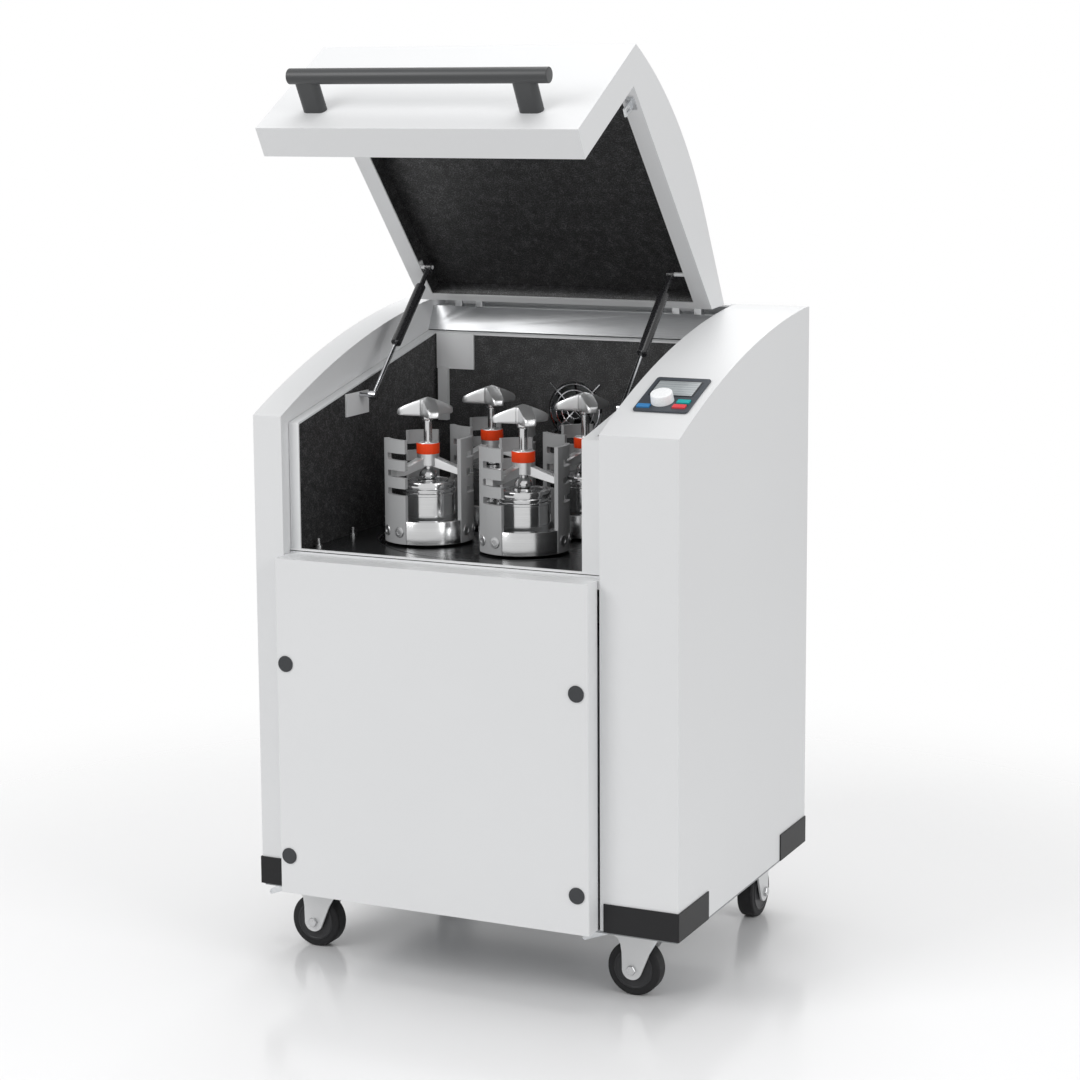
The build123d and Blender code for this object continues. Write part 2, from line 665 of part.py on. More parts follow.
with BuildPart() as chamber_tub:
    side_prism(wall_profile, TUB_LEFT, TUB_RIGHT)
    block(
        (TUB_LEFT + TUB_WALL, FRONT_Y, CHAMBER_FLOOR_Z),
        (TUB_RIGHT - TUB_WALL, TUB_REAR - TUB_WALL, CABINET_TOP_Z),
        mode=Mode.SUBTRACT,
    )
    side_prism(rim_profile, FLANGE_LEFT, LINER_LEFT)
    side_prism(rim_profile, LINER_RIGHT, FLANGE_RIGHT)
    block(
        (FLANGE_LEFT, FRONT_Y + 2, PANEL_TOP_Z - 16),
        (FLANGE_RIGHT, TUB_FRONT + TUB_WALL, PANEL_TOP_Z),
    )
    block(
        (FLANGE_LEFT, FRONT_Y + LID_LIP - PANEL_DEPTH + SEAM, PANEL_TOP_Z),
        (FLANGE_RIGHT, TUB_FRONT + TUB_WALL, SILL_Z),
    )
    side_prism(
        [
            (CHAMBER_REAR_Y - TUB_WALL - LINING, rim_z(CHAMBER_REAR_Y - TUB_WALL - LINING)),
            (CHAMBER_REAR_Y, RIM_REAR_Z),
            (CHAMBER_REAR_Y, RIM_REAR_Z - TUB_WALL),
            (
                CHAMBER_REAR_Y - TUB_WALL - LINING,
                rim_z(CHAMBER_REAR_Y - TUB_WALL - LINING) - TUB_WALL,
            ),
        ],
        LINER_LEFT,
        LINER_RIGHT,
    )
    rod((*SUN, DISC_BOTTOM_Z), (0, 0, 1), WELL_RADIUS, FLOOR_THICKNESS, mode=Mode.SUBTRACT)
    tube((*SUN, DECK_TOP_Z), (0, 0, 1), WELL_RADIUS + 2.5, WELL_RADIUS, DISC_BOTTOM_Z - DECK_TOP_Z + 1)
    rod(
        (LEFT_X + FAN_X, TUB_REAR - TUB_WALL, FAN_Z),
        (0, 1, 0),
        FAN_SIZE / 2 - 3,
        TUB_WALL,
        mode=Mode.SUBTRACT,
    )
    block(
        (LOCK_X - HOOK_THICKNESS, LOCK_Y, RIM_FRONT_Z - 20),
        (LOCK_X + HOOK_THICKNESS, LOCK_Y + HOOK_LENGTH + 8, RIM_FRONT_Z + 20),
        mode=Mode.SUBTRACT,
    )
# White cover over the fan's cable: a plate that hangs from the rear rim, with a duct below it.
COVER_PLATE = (82.0, 4.0)
COVER_INSET = 5.0
COVER_LOW_Z = 1060.0
DUCT = (20.0, 12.0)
DUCT_LOW_Z = 957.0
with chamber_tub:
    plate_left = LINER_LEFT + COVER_INSET
    block(
        (plate_left, LINER_REAR - COVER_PLATE[1], COVER_LOW_Z),
        (plate_left + COVER_PLATE[0], LINER_REAR, rim_z(LINER_REAR - FRONT_Y)),
    )
    block(
        (plate_left + 6, LINER_REAR - DUCT[1], DUCT_LOW_Z),
        (plate_left + 6 + DUCT[0], LINER_REAR, COVER_LOW_Z + 4),
    )
save(chamber_tub.part, "chamber_tub")

# Black lining inside the walls, and the lip seals along the columns.
with BuildPart() as chamber_lining:
    side_prism(
        [
            (CHAMBER_FRONT_Y + TUB_WALL, CHAMBER_FLOOR_Z),
            (CHAMBER_FRONT_Y + TUB_WALL, rim_z(CHAMBER_FRONT_Y + TUB_WALL) - TUB_WALL - 0.7),
            (CHAMBER_REAR_Y - TUB_WALL, rim_z(CHAMBER_REAR_Y - TUB_WALL) - TUB_WALL - 0.7),
            (CHAMBER_REAR_Y - TUB_WALL, CHAMBER_FLOOR_Z),
        ],
        TUB_LEFT + TUB_WALL,
        TUB_RIGHT - TUB_WALL,
    )
    block(
        (LINER_LEFT, FRONT_Y, CHAMBER_FLOOR_Z),
        (LINER_RIGHT, LINER_REAR, CABINET_TOP_Z),
        mode=Mode.SUBTRACT,
    )
    rod((LEFT_X + FAN_X, LINER_REAR, FAN_Z), (0, 1, 0), FAN_SIZE / 2 - 3, LINING, mode=Mode.SUBTRACT)
    block(
        (TUB_LEFT, FRONT_Y, CHAMBER_FLOOR_Z),
        (TUB_RIGHT, TUB_FRONT + TUB_WALL, SILL_Z),
        mode=Mode.SUBTRACT,
    )
save(chamber_lining.part, "chamber_lining")

# Extractor fan behind the rear wall, with its wire guard in front of the lining.
GUARD_RING = 2.0
FAN_PIN_RADIUS = 4.0
HUB_OF_FAN = 20.0
fan_centre = (LEFT_X + FAN_X, TUB_REAR, FAN_Z)
with BuildPart() as fan_housing:
    block(
        (fan_centre[0] - FAN_SIZE / 2, TUB_REAR, FAN_Z - FAN_SIZE / 2),
        (fan_centre[0] + FAN_SIZE / 2, TUB_REAR + FAN_DEPTH, FAN_Z + FAN_SIZE / 2),
    )
    rod(fan_centre, (0, 1, 0), FAN_SIZE / 2 - 3, FAN_DEPTH, mode=Mode.SUBTRACT)
    spider_y = TUB_REAR + FAN_DEPTH - 4
    block(
        (fan_centre[0] - FAN_SIZE / 2 + 1, spider_y, FAN_Z - 5),
        (fan_centre[0] + FAN_SIZE / 2 - 1, spider_y + 4, FAN_Z + 5),
    )
    rod((fan_centre[0], TUB_REAR + 3, FAN_Z), (0, 1, 0), FAN_PIN_RADIUS, FAN_DEPTH - 5)
    guard_y = LINER_REAR - 3
    for ring_radius in (16, 28, 40, 52):
        tube(
            (fan_centre[0], guard_y, FAN_Z),
            (0, 1, 0),
            ring_radius + GUARD_RING / 2,
            ring_radius - GUARD_RING / 2,
            GUARD_RING,
        )
    for turn in (45, 135):
        with BuildSketch(Plane.XZ.offset(-guard_y)) as spoke:
            with Locations(Location((fan_centre[0], FAN_Z), turn)):
                SlotOverall(150, GUARD_RING)
        extrude(spoke.sketch, amount=-3)
save(fan_housing.part, "fan_housing")

BLADE_COUNT = 7
with BuildPart() as fan_rotor:
    tube(
        (fan_centre[0], TUB_REAR + 3, FAN_Z), (0, 1, 0), HUB_OF_FAN, FAN_PIN_RADIUS + FIT, FAN_DEPTH - 8
    )
    for blade in range(BLADE_COUNT):
        blade_plane = Plane(
            (fan_centre[0], TUB_REAR + 4 + (FAN_DEPTH - 10) / 2, FAN_Z),
            x_dir=(0, 1, 0),
            z_dir=(
                cos(radians(360 / BLADE_COUNT * blade)),
                0,
                sin(radians(360 / BLADE_COUNT * blade)),
            ),
        )
        with BuildSketch(blade_plane.offset(HUB_OF_FAN - 2)) as blade_root:
            with Locations(Rotation(0, 0, 35)):
                Rectangle(15, 2)
        extrude(blade_root.sketch, amount=FAN_SIZE / 2 - 5 - HUB_OF_FAN)
save(fan_rotor.part, "fan_rotor")

# Lock under the right rim, whose slot takes the lid's hook.
with BuildPart() as lid_lock:
    lock_top = RIM_FRONT_Z - 8.0
    lock_floor = lock_top - 70.0
    block(
        (TUB_RIGHT, LOCK_Y - 8, lock_floor),
        (FLANGE_RIGHT - 3, LOCK_Y + HOOK_LENGTH + 18, lock_top),
    )
    block(
        (LOCK_X - HOOK_THICKNESS, LOCK_Y, lock_floor + 30),
        (LOCK_X + HOOK_THICKNESS, LOCK_Y + HOOK_LENGTH + 8, lock_top),
        mode=Mode.SUBTRACT,
    )
save(lid_lock.part, "lid_lock")

# ---------------------------------------------------------------- hinge beam and gas spring brackets

with BuildPart() as hinge_beam:
    side_prism(
        [
            (CHAMBER_REAR_Y - 1, BEAM_BOTTOM_Z),
            (CHAMBER_REAR_Y + 23, BEAM_TOP_Z),
            (CABINET_DEPTH - 8, BEAM_TOP_Z),
            (CABINET_DEPTH - 8, BEAM_BOTTOM_Z),
        ],
        COLUMN_INNER_LEFT,
        COLUMN_INNER_RIGHT,
    )
    for hinge_x in HINGES_X:
        for ear_x in (hinge_x - HINGE_WIDTH / 2, hinge_x + LUG_WIDTH / 2 + 1):
            ear_end = ear_x + (HINGE_WIDTH - LUG_WIDTH) / 2 - 1
            block(
                (ear_x, FRONT_Y + HINGE_Y - KNUCKLE_RADIUS, BEAM_TOP_Z),
                (ear_end, FRONT_Y + HINGE_Y + KNUCKLE_RADIUS, HINGE_Z),
            )
            rod(
                (ear_x, FRONT_Y + HINGE_Y, HINGE_Z), (1, 0, 0), KNUCKLE_RADIUS, ear_end - ear_x
            )
        rod(
            (hinge_x - HINGE_WIDTH / 2, FRONT_Y + HINGE_Y, HINGE_Z),
            (1, 0, 0),
            PIN_RADIUS,
            HINGE_WIDTH,
        )
save(hinge_beam.part, "hinge_beam")

BRACKET = 4.0
SPRINGS = {
    "left": (LINER_LEFT + SPRING_INSET, LINER_LEFT, 1),
    "right": (LINER_RIGHT - SPRING_INSET_RIGHT, LINER_RIGHT, -1),
}
with BuildPart() as spring_brackets:
    for spring_x, wall_x, inward in SPRINGS.values():
        plate = sorted((wall_x, wall_x + inward * BRACKET))
        block(
            (plate[0], FRONT_Y + SPRING_LOW_Y - 50, SPRING_LOW_Z - 38),
            (plate[1], FRONT_Y + SPRING_LOW_Y + 36, SPRING_LOW_Z + 5),
        )
save(spring_brackets.part, "spring_brackets")

# Gas springs: the cylinder hangs on the lid, the rod's stud rests beside its bracket.
low_eye = (FRONT_Y + SPRING_LOW_Y, SPRING_LOW_Z)
high_point = opened(0, SPRING_HIGH_Y, SPRING_HIGH_Z)
high_eye = (high_point.Y, high_point.Z)
spring_run = Vector(0, low_eye[0] - high_eye[0], low_eye[1] - high_eye[1])
spring_length = spring_run.length
for side, (spring_x, wall_x, inward) in SPRINGS.items():
    high_centre = Vector(spring_x, *high_eye)
    low_centre = Vector(spring_x, *low_eye)
    down = spring_run.normalized()
    cylinder_top = high_centre + down * SPRING_NECK
    rod_reach = spring_length - SPRING_NECK - CYLINDER_LENGTH + ROD_INSERT
    rod_end = low_centre - down * rod_reach

    with BuildPart() as gas_cylinder:
        rod(high_centre - Vector(EYE_WIDTH / 2, 0, 0), (1, 0, 0), EYE_RADIUS, EYE_WIDTH)
        rod(high_centre + down * 4, down, ROD_RADIUS + 1, SPRING_NECK - 4)
        rod(cylinder_top, down, CYLINDER_RADIUS, CYLINDER_LENGTH)
        rod(
            cylinder_top + down * CYLINDER_HEAD,
            down,
            ROD_RADIUS + FIT,
            CYLINDER_LENGTH,
            mode=Mode.SUBTRACT,
        )
        rod(
            high_centre - Vector(EYE_WIDTH, 0, 0),
            (1, 0, 0),
            STUD_RADIUS + FIT,
            2 * EYE_WIDTH,
            mode=Mode.SUBTRACT,
        )
    save(gas_cylinder.part, "gas_cylinder_" + side)

    with BuildPart() as gas_rod:
        rod(rod_end, down, ROD_RADIUS, rod_reach)
        rod(low_centre - Vector(EYE_WIDTH / 2, 0, 0), (1, 0, 0), EYE_RADIUS, EYE_WIDTH)
        stud_end = wall_x + inward * (BRACKET + AIR)
        stud_reach = abs(stud_end - spring_x)
        rod(low_centre, (-inward, 0, 0), STUD_RADIUS, stud_reach)
    save(gas_rod.part, "gas_rod_" + side)

# ---------------------------------------------------------------- lid

strip_height = 4.0


def under_z(depth):
    """Height of the closed lid's underside, just above the chamber's rim."""
    return rim_z(depth) + strip_height


def lid_profile(inset, top_inset):
    """Side outline of the closed lid, drawn in by inset, in the plane of the running sketch."""
    front = FRONT_Y - PANEL_DEPTH + inset
    crest = LID_CREST_Z - top_inset
    brow = (front, LID_BROW_Z - inset)
    crest_start = (FRONT_Y + LID_CREST_Y, crest)
    lip_back = FRONT_Y - PANEL_DEPTH + LID_LIP - inset
    Polyline(
        crest_start,
        (FRONT_Y + LID_REAR_Y - inset, crest),
        (FRONT_Y + LID_FOOT_Y - inset, under_z(LID_FOOT_Y - inset) + inset),
        (lip_back, under_z(lip_back - FRONT_Y) + inset),
        (lip_back, LID_BOTTOM_Z + inset),
        (front, LID_BOTTOM_Z + inset),
        brow,
    )
    TangentArc(crest_start, brow, tangent=(-1, 0))


recess_front = CHAMBER_FRONT_Y + 10.0
recess_back = LID_FOOT_Y - 16.0
opening_profile = [
    (recess_front, under_z(recess_front) - 5),
    (recess_front, under_z(recess_front) + LID_SHEET + 2),
    (recess_back, under_z(recess_back) + LID_SHEET + 2),
    (recess_back, under_z(recess_back) - 5),
]
RECESS_LEFT = COVER_LEFT + LID_STRIP
RECESS_RIGHT = COVER_RIGHT - LID_STRIP
with BuildPart() as lid_shell:
    with BuildSketch(lid_side(COVER_LEFT)) as lid_outline:
        with BuildLine():
            lid_profile(0, 0)
        make_face()
    extrude(lid_outline.sketch, amount=COVER_RIGHT - COVER_LEFT)
    with BuildSketch(lid_side(COVER_LEFT + LID_SHEET)) as lid_hollow:
        with BuildLine():
            lid_profile(LID_SHEET, LID_SHEET)
        make_face()
    extrude(lid_hollow.sketch, amount=COVER_RIGHT - COVER_LEFT - 2 * LID_SHEET, mode=Mode.SUBTRACT)
    side_prism(opening_profile, RECESS_LEFT, RECESS_RIGHT, lid_side, mode=Mode.SUBTRACT)
    # hinge lugs
    for hinge_x in HINGES_X:
        side_prism(
            [
                (LID_REAR_Y - 2, HINGE_Z - 14),
                (HINGE_Y - 3, HINGE_Z - KNUCKLE_RADIUS + 0.6),
                (HINGE_Y, HINGE_Z),
                (HINGE_Y - 3, LID_CREST_Z + 4),
                (LID_REAR_Y - 2, LID_CREST_Z - 0.5),
            ],
            hinge_x - LUG_WIDTH / 2,
            hinge_x + LUG_WIDTH / 2,
            lid_side,
        )
        lug_start = opened(hinge_x - LUG_WIDTH / 2, HINGE_Y, HINGE_Z)
        rod(lug_start, (1, 0, 0), KNUCKLE_RADIUS - 1, LUG_WIDTH)
        rod(
            lug_start - Vector(5, 0, 0),
            (1, 0, 0),
            PIN_RADIUS + FIT,
            LUG_WIDTH + 10,
            mode=Mode.SUBTRACT,
        )
    # studs of the gas springs, on plates that rise from the turned-in strips
    for spring_x, wall_x, inward in SPRINGS.values():
        plate_x = (RECESS_LEFT - BRACKET) if inward > 0 else RECESS_RIGHT
        side_prism(
            [
                (SPRING_HIGH_Y - 14, under_z(SPRING_HIGH_Y - 14)),
                (SPRING_HIGH_Y + 14, under_z(SPRING_HIGH_Y + 14)),
                (SPRING_HIGH_Y + 10, SPRING_HIGH_Z + 10),
                (SPRING_HIGH_Y - 10, SPRING_HIGH_Z + 10),
            ],
            plate_x,
            plate_x + BRACKET,
            lid_side,
        )
        stud_from = RECESS_LEFT - 1 if inward > 0 else RECESS_RIGHT + 1
        stud_start = Vector(stud_from, *high_eye)
        rod(
            stud_start,
            (inward, 0, 0),
            STUD_RADIUS,
            abs(spring_x - stud_from) + EYE_WIDTH / 2 + 1,
        )
save(lid_shell.part, "lid_shell")

# Black lining of the lid: a tray that stands back from the turned-in strips.
LID_WALL = 8.0
tray_left = RECESS_LEFT - BRACKET
tray_right = RECESS_RIGHT + BRACKET


def tray_profile(drop, ends):
    """Side outline of the lid's lining tray; drop thins its roof and ends its end walls."""
    front = recess_front - LID_WALL + ends
    back = recess_back + LID_WALL - ends
    return [
        (front, under_z(front) + LID_SHEET + 0.5),
        (front, under_z(front) + LID_RECESS - drop),
        (back, under_z(back) + LID_RECESS - drop),
        (back, under_z(back) + LID_SHEET + 0.5),
    ]


with BuildPart() as lid_lining:
    side_prism(tray_profile(-LID_WALL, 0), tray_left - LID_WALL, tray_right + LID_WALL, lid_side)
    inner_tray = tray_profile(0, LID_WALL)
    inner_tray[0] = (inner_tray[0][0], inner_tray[0][1] - 10)
    inner_tray[3] = (inner_tray[3][0], inner_tray[3][1] - 10)
    side_prism(inner_tray, tray_left, tray_right, lid_side, mode=Mode.SUBTRACT)
save(lid_lining.part, "lid_lining")

# Grab bar on two oval posts, across the front of the lid.
bar_left = COVER_LEFT + BAR_INSET_LEFT
bar_right = COVER_RIGHT - BAR_INSET_RIGHT
bar_start = opened(bar_left, -PANEL_DEPTH - BAR_STANDOFF, BAR_Z)
lid_front = Plane(lid_turn * Plane.XZ.offset(PANEL_DEPTH - FRONT_Y).location)
with BuildPart() as lid_handle:
    rod(bar_start, (1, 0, 0), BAR_RADIUS, bar_right - bar_left)
    fillet(lid_handle.edges(), 2.0)
    with BuildSketch(lid_front) as post_faces:
        with Locations((bar_left + POST_INSET, BAR_Z), (bar_right - POST_INSET - 17, BAR_Z)):
            SlotOverall(GRIP_POST_WIDTH, GRIP_POST_HEIGHT)
    extrude(post_faces.sketch, amount=BAR_STANDOFF - 4)
save(lid_handle.part, "lid_handle")

# Hook that the lock holds, on the right turned-in strip.
with BuildPart() as lid_striker:
    hook_depth = LOCK_Y - FRONT_Y + 4
    side_prism(
        [
            (hook_depth - 6, under_z(hook_depth - 6)),
            (hook_depth - 6, under_z(hook_depth - 6) - 3),
            (hook_depth + HOOK_LENGTH + 6, under_z(hook_depth + HOOK_LENGTH + 6) - 3),
            (hook_depth + HOOK_LENGTH + 6, under_z(hook_depth + HOOK_LENGTH + 6)),
        ],
        LOCK_X - 9,
        LOCK_X + 9,
        lid_side,
    )
    side_prism(
        [
            (hook_depth, under_z(hook_depth) - 2),
            (hook_depth, RIM_FRONT_Z - 24),
            (hook_depth + HOOK_LENGTH, RIM_FRONT_Z - 24),
            (hook_depth + HOOK_LENGTH, under_z(hook_depth + HOOK_LENGTH) - 2),
        ],
        LOCK_X - HOOK_THICKNESS / 2,
        LOCK_X + HOOK_THICKNESS / 2,
        lid_side,
    )
    side_prism(
        [
            (hook_depth + 4, RIM_FRONT_Z - 4),
            (hook_depth + 4, RIM_FRONT_Z - 18),
            (hook_depth + HOOK_LENGTH - 4, RIM_FRONT_Z - 18),
            (hook_depth + HOOK_LENGTH - 4, RIM_FRONT_Z - 4),
        ],
        LOCK_X - HOOK_THICKNESS,
        LOCK_X + HOOK_THICKNESS,
        lid_side,
        mode=Mode.SUBTRACT,
    )
save(lid_striker.part, "lid_striker")

# ---------------------------------------------------------------- drive

# Housing of the sun wheel's bearings, with the fixed drum that the planet belts roll round.
with BuildPart() as bearing_housing:
    rod((*SUN, DECK_TOP_Z), (0, 0, 1), 90.0, 8.0)
    rod((*SUN, DECK_TOP_Z + 8.0), (0, 0, 1), DRUM_RADIUS, DRUM_TOP_Z - DECK_TOP_Z - 8.0)
    rod(
        (*SUN, DECK_TOP_Z),
        (0, 0, 1),
        SUN_SHAFT_RADIUS + FIT,
        DRUM_TOP_Z - DECK_TOP_Z,
        mode=Mode.SUBTRACT,
    )
save(bearing_housing.part, "bearing_housing")

STATIONS = {
    name: (
        SUN[0] + ORBIT_RADIUS * cos(radians(angle)),
        SUN[1] + ORBIT_RADIUS * sin(radians(angle)),
    )
    for name, angle in STATION_ANGLES.items()
}

# Sun wheel: the disc in the chamber floor, four bearing bosses, its shaft and driven pulley.
with BuildPart() as sun_wheel:
    rod((*SUN, DISC_BOTTOM_Z), (0, 0, 1), DISC_RADIUS, FLOOR_THICKNESS)
    rod((*SUN, DRUM_TOP_Z + AIR), (0, 0, 1), 60.0, DISC_BOTTOM_Z - DRUM_TOP_Z - AIR)
    rod(
        (*SUN, DRIVE_PULLEY_Z - 6),
        (0, 0, 1),
        SUN_SHAFT_RADIUS,
        DISC_BOTTOM_Z - DRIVE_PULLEY_Z + 6,
    )
    rod((*SUN, DRIVE_PULLEY_Z), (0, 0, 1), DRIVE_PULLEY_RADIUS, DRIVE_PULLEY_HEIGHT)
    for station in STATIONS.values():
        rod((*station, DRUM_TOP_Z + 8), (0, 0, 1), 32.0, DISC_BOTTOM_Z - DRUM_TOP_Z - 8)
        rod(
            (*station, DRUM_TOP_Z + 8),
            (0, 0, 1),
            PLANET_SHAFT_RADIUS + FIT,
            DISC_TOP_Z - DRUM_TOP_Z - 8,
            mode=Mode.SUBTRACT,
        )
save(sun_wheel.part, "sun_wheel")

with BuildPart() as planet_belts:
    for level, angle in enumerate(STATION_ANGLES.values()):
        belt_plane = Plane(
            (*SUN, FIRST_PULLEY_Z + PULLEY_STEP * level + 1),
            x_dir=(cos(radians(angle)), sin(radians(angle)), 0),
            z_dir=(0, 0, 1),
        )
        belt_loop(belt_plane, ORBIT_RADIUS, DRUM_RADIUS, PLANET_PULLEY_RADIUS, PULLEY_HEIGHT - 2)
save(planet_belts.part, "planet_belts")

with BuildPart() as drive_belt:
    belt_loop(
        Plane((*SUN, DRIVE_PULLEY_Z + 4), z_dir=(0, 0, 1)),
        MOTOR_OFFSET,
        DRIVE_PULLEY_RADIUS,
        MOTOR_PULLEY_RADIUS,
        DRIVE_PULLEY_HEIGHT - 8,
    )
save(drive_belt.part, "drive_belt")

# Motor, hung under the deck on four pillars.
FLANGE = 12.0
with BuildPart() as motor:
    rod((*MOTOR, MOTOR_TOP_Z - MOTOR_HEIGHT), (0, 0, 1), MOTOR_RADIUS, MOTOR_HEIGHT)
    block(
        (MOTOR[0] - MOTOR_RADIUS - 5, MOTOR[1] - MOTOR_RADIUS - 5, MOTOR_TOP_Z),
        (MOTOR[0] + MOTOR_RADIUS + 5, MOTOR[1] + MOTOR_RADIUS + 5, MOTOR_TOP_Z + FLANGE),
    )
    for pillar_x in (-PILLAR_OFFSET, PILLAR_OFFSET):
        for pillar_y in (-PILLAR_OFFSET, PILLAR_OFFSET):
            rod(
                (MOTOR[0] + pillar_x, MOTOR[1] + pillar_y, MOTOR_TOP_Z + FLANGE),
                (0, 0, 1),
                7.0,
                DECK_BOTTOM_Z - MOTOR_TOP_Z - FLANGE,
            )
    rod(
        (*MOTOR, MOTOR_TOP_Z - 20),
        (0, 0, 1),
        MOTOR_SHAFT_RADIUS + FIT,
        FLANGE + 20,
        mode=Mode.SUBTRACT,
    )
save(motor.part, "motor")

with BuildPart() as motor_pulley:
    rod((*MOTOR, DRIVE_PULLEY_Z + 2), (0, 0, 1), MOTOR_PULLEY_RADIUS, DRIVE_PULLEY_HEIGHT - 4)
    rod(
        (*MOTOR, MOTOR_TOP_Z - 20 + AIR),
        (0, 0, 1),
        MOTOR_SHAFT_RADIUS,
        DRIVE_PULLEY_Z + 2 - MOTOR_TOP_Z + 20 - AIR,
    )
save(motor_pulley.part, "motor_pulley")

# ---------------------------------------------------------------- grinding stations

UPRIGHT_ANGLES = [5.0, 125.0, 245.0]
LOBE_ANGLES = [70.0, 190.0, 310.0]
SLOT_ARC = UPRIGHT_ARC - SLOT_WEB
ARM_HALF_ARC = degrees(ARM_WIDTH / 2 / (HOLDER_RADIUS - UPRIGHT_WALL))
ARM_ANGLE = -UPRIGHT_ARC / 2 + SLOT_WEB + ARM_HALF_ARC + 2.0
WALL_INNER = HOLDER_RADIUS - UPRIGHT_WALL
SLOT_LENGTH = 2 * HOLDER_RADIUS * sin(radians(SLOT_ARC / 2)) + SLOT_CORNER


def sector(plane, start, arc, outer, inner, height, mode=Mode.ADD):
    """Curved wall: a ring's sector from a start angle, drawn up by height."""
    with BuildSketch(plane) as wall:
        with BuildLine():
            outer_arc = CenterArc((0, 0), outer, start, arc)
            inner_arc = CenterArc((0, 0), inner, start, arc)
            Line(outer_arc @ 0, inner_arc @ 0)
            Line(outer_arc @ 1, inner_arc @ 1)
        make_face()
    extrude(wall.sketch, amount=height, mode=mode)


for level, (place, station) in enumerate(STATIONS.items()):
    # Holder on its shaft and pulley: a ring that takes the jar and three slotted uprights.
    station_base = Plane((*station, 0), z_dir=(0, 0, 1))
    with BuildPart() as holder:
        rod(
            (*station, HOLDER_BOTTOM_Z),
            (0, 0, 1),
            HOLDER_RADIUS - RING_INSET,
            HOLDER_RING_Z - HOLDER_BOTTOM_Z,
        )
        fillet(holder.edges().group_by(Axis.Z)[0], 2.0)
        rod((*station, DISC_TOP_Z + AIR), (0, 0, 1), 30.0, HOLDER_BOTTOM_Z - DISC_TOP_Z - AIR)
        pulley_z = FIRST_PULLEY_Z + PULLEY_STEP * level
        rod(
            (*station, pulley_z),
            (0, 0, 1),
            PLANET_SHAFT_RADIUS,
            HOLDER_BOTTOM_Z - pulley_z,
        )
        rod((*station, pulley_z), (0, 0, 1), PLANET_PULLEY_RADIUS, PULLEY_HEIGHT)
        rod(
            (*station, JAR_FLOOR_Z),
            (0, 0, 1),
            JAR_RADIUS + AIR,
            HOLDER_RING_Z - JAR_FLOOR_Z,
            mode=Mode.SUBTRACT,
        )
        rod(
            (*station, HOLDER_RING_Z - RING_STEP),
            (0, 0, 1),
            WALL_INNER - UPRIGHT_WALL,
            RING_STEP,
            mode=Mode.SUBTRACT,
        )
        for upright in UPRIGHT_ANGLES:
            sector(
                station_base.offset(HOLDER_BOTTOM_Z + 1),
                upright - UPRIGHT_ARC / 2,
                UPRIGHT_ARC,
                HOLDER_RADIUS,
                WALL_INNER,
                UPRIGHT_TOP_Z - HOLDER_BOTTOM_Z - 1,
            )
            slot_turn = radians(upright - UPRIGHT_ARC / 2 + SLOT_WEB + SLOT_ARC / 2)
            outward = (cos(slot_turn), sin(slot_turn), 0)
            slot_face = Plane(
                (*station, 0), x_dir=(-sin(slot_turn), cos(slot_turn), 0), z_dir=outward
            )
            with BuildSketch(slot_face.offset(WALL_INNER - 5)) as slots:
                for slot_floor in SLOT_FLOORS:
                    with Locations((SLOT_CORNER / 2, slot_floor + SLOT_HEIGHT / 2)):
                        RectangleRounded(SLOT_LENGTH, SLOT_HEIGHT, SLOT_CORNER)
            extrude(slots.sketch, amount=UPRIGHT_WALL + 10, mode=Mode.SUBTRACT)
    save(holder.part, "holder_" + place)

    # Steel jar with its lid, standing in the holder.
    with BuildPart() as jar:
        lid_bottom = JAR_TOP_Z - JAR_LID
        rod((*station, JAR_FLOOR_Z), (0, 0, 1), JAR_RADIUS - 1, JAR_TOP_Z - JAR_FLOOR_Z)
        rod((*station, lid_bottom + 1.5), (0, 0, 1), JAR_RADIUS, JAR_LID - 3)
        rod((*station, lid_bottom - 8), (0, 0, 1), JAR_RADIUS, 8)
        fillet(jar.edges().group_by(Axis.Z)[-1], 1.0)
    save(jar.part, "jar_" + place)

    # Clamping bridge: a hub with three arms that reach into the uprights' slots.
    with BuildPart() as bridge:
        rod((*station, HUB_BOTTOM_Z), (0, 0, 1), HUB_RADIUS, HUB_TOP_Z - HUB_BOTTOM_Z)
        fillet(bridge.edges(), 2.0)
        arm_z = SLOT_FLOORS[1] + 1.0
        arm_end = WALL_INNER + UPRIGHT_WALL / 2
        for upright in UPRIGHT_ANGLES:
            arm_turn = radians(upright + ARM_ANGLE)
            arm_side = Plane(
                (*station, 0),
                x_dir=(cos(arm_turn), sin(arm_turn), 0),
                z_dir=(sin(arm_turn), -cos(arm_turn), 0),
            )
            with BuildSketch(arm_side.offset(-ARM_WIDTH / 2)) as arm:
                with BuildLine():
                    Polyline(
                        (HUB_RADIUS / 2, HUB_BOTTOM_Z),
                        (WALL_INNER - 14, arm_z),
                        (arm_end, arm_z),
                        (arm_end, arm_z + ARM_HEIGHT),
                        (WALL_INNER - 10, arm_z + ARM_HEIGHT),
                        (HUB_RADIUS / 2, HUB_BOTTOM_Z + ARM_HEIGHT + 7),
                        close=True,
                    )
                make_face()
            extrude(arm.sketch, amount=ARM_WIDTH)
        rod(
            (*station, HUB_BOTTOM_Z),
            (0, 0, 1),
            SPINDLE_RADIUS + FIT,
            HUB_TOP_Z - HUB_BOTTOM_Z,
            mode=Mode.SUBTRACT,
        )
    save(bridge.part, "bridge_" + place)

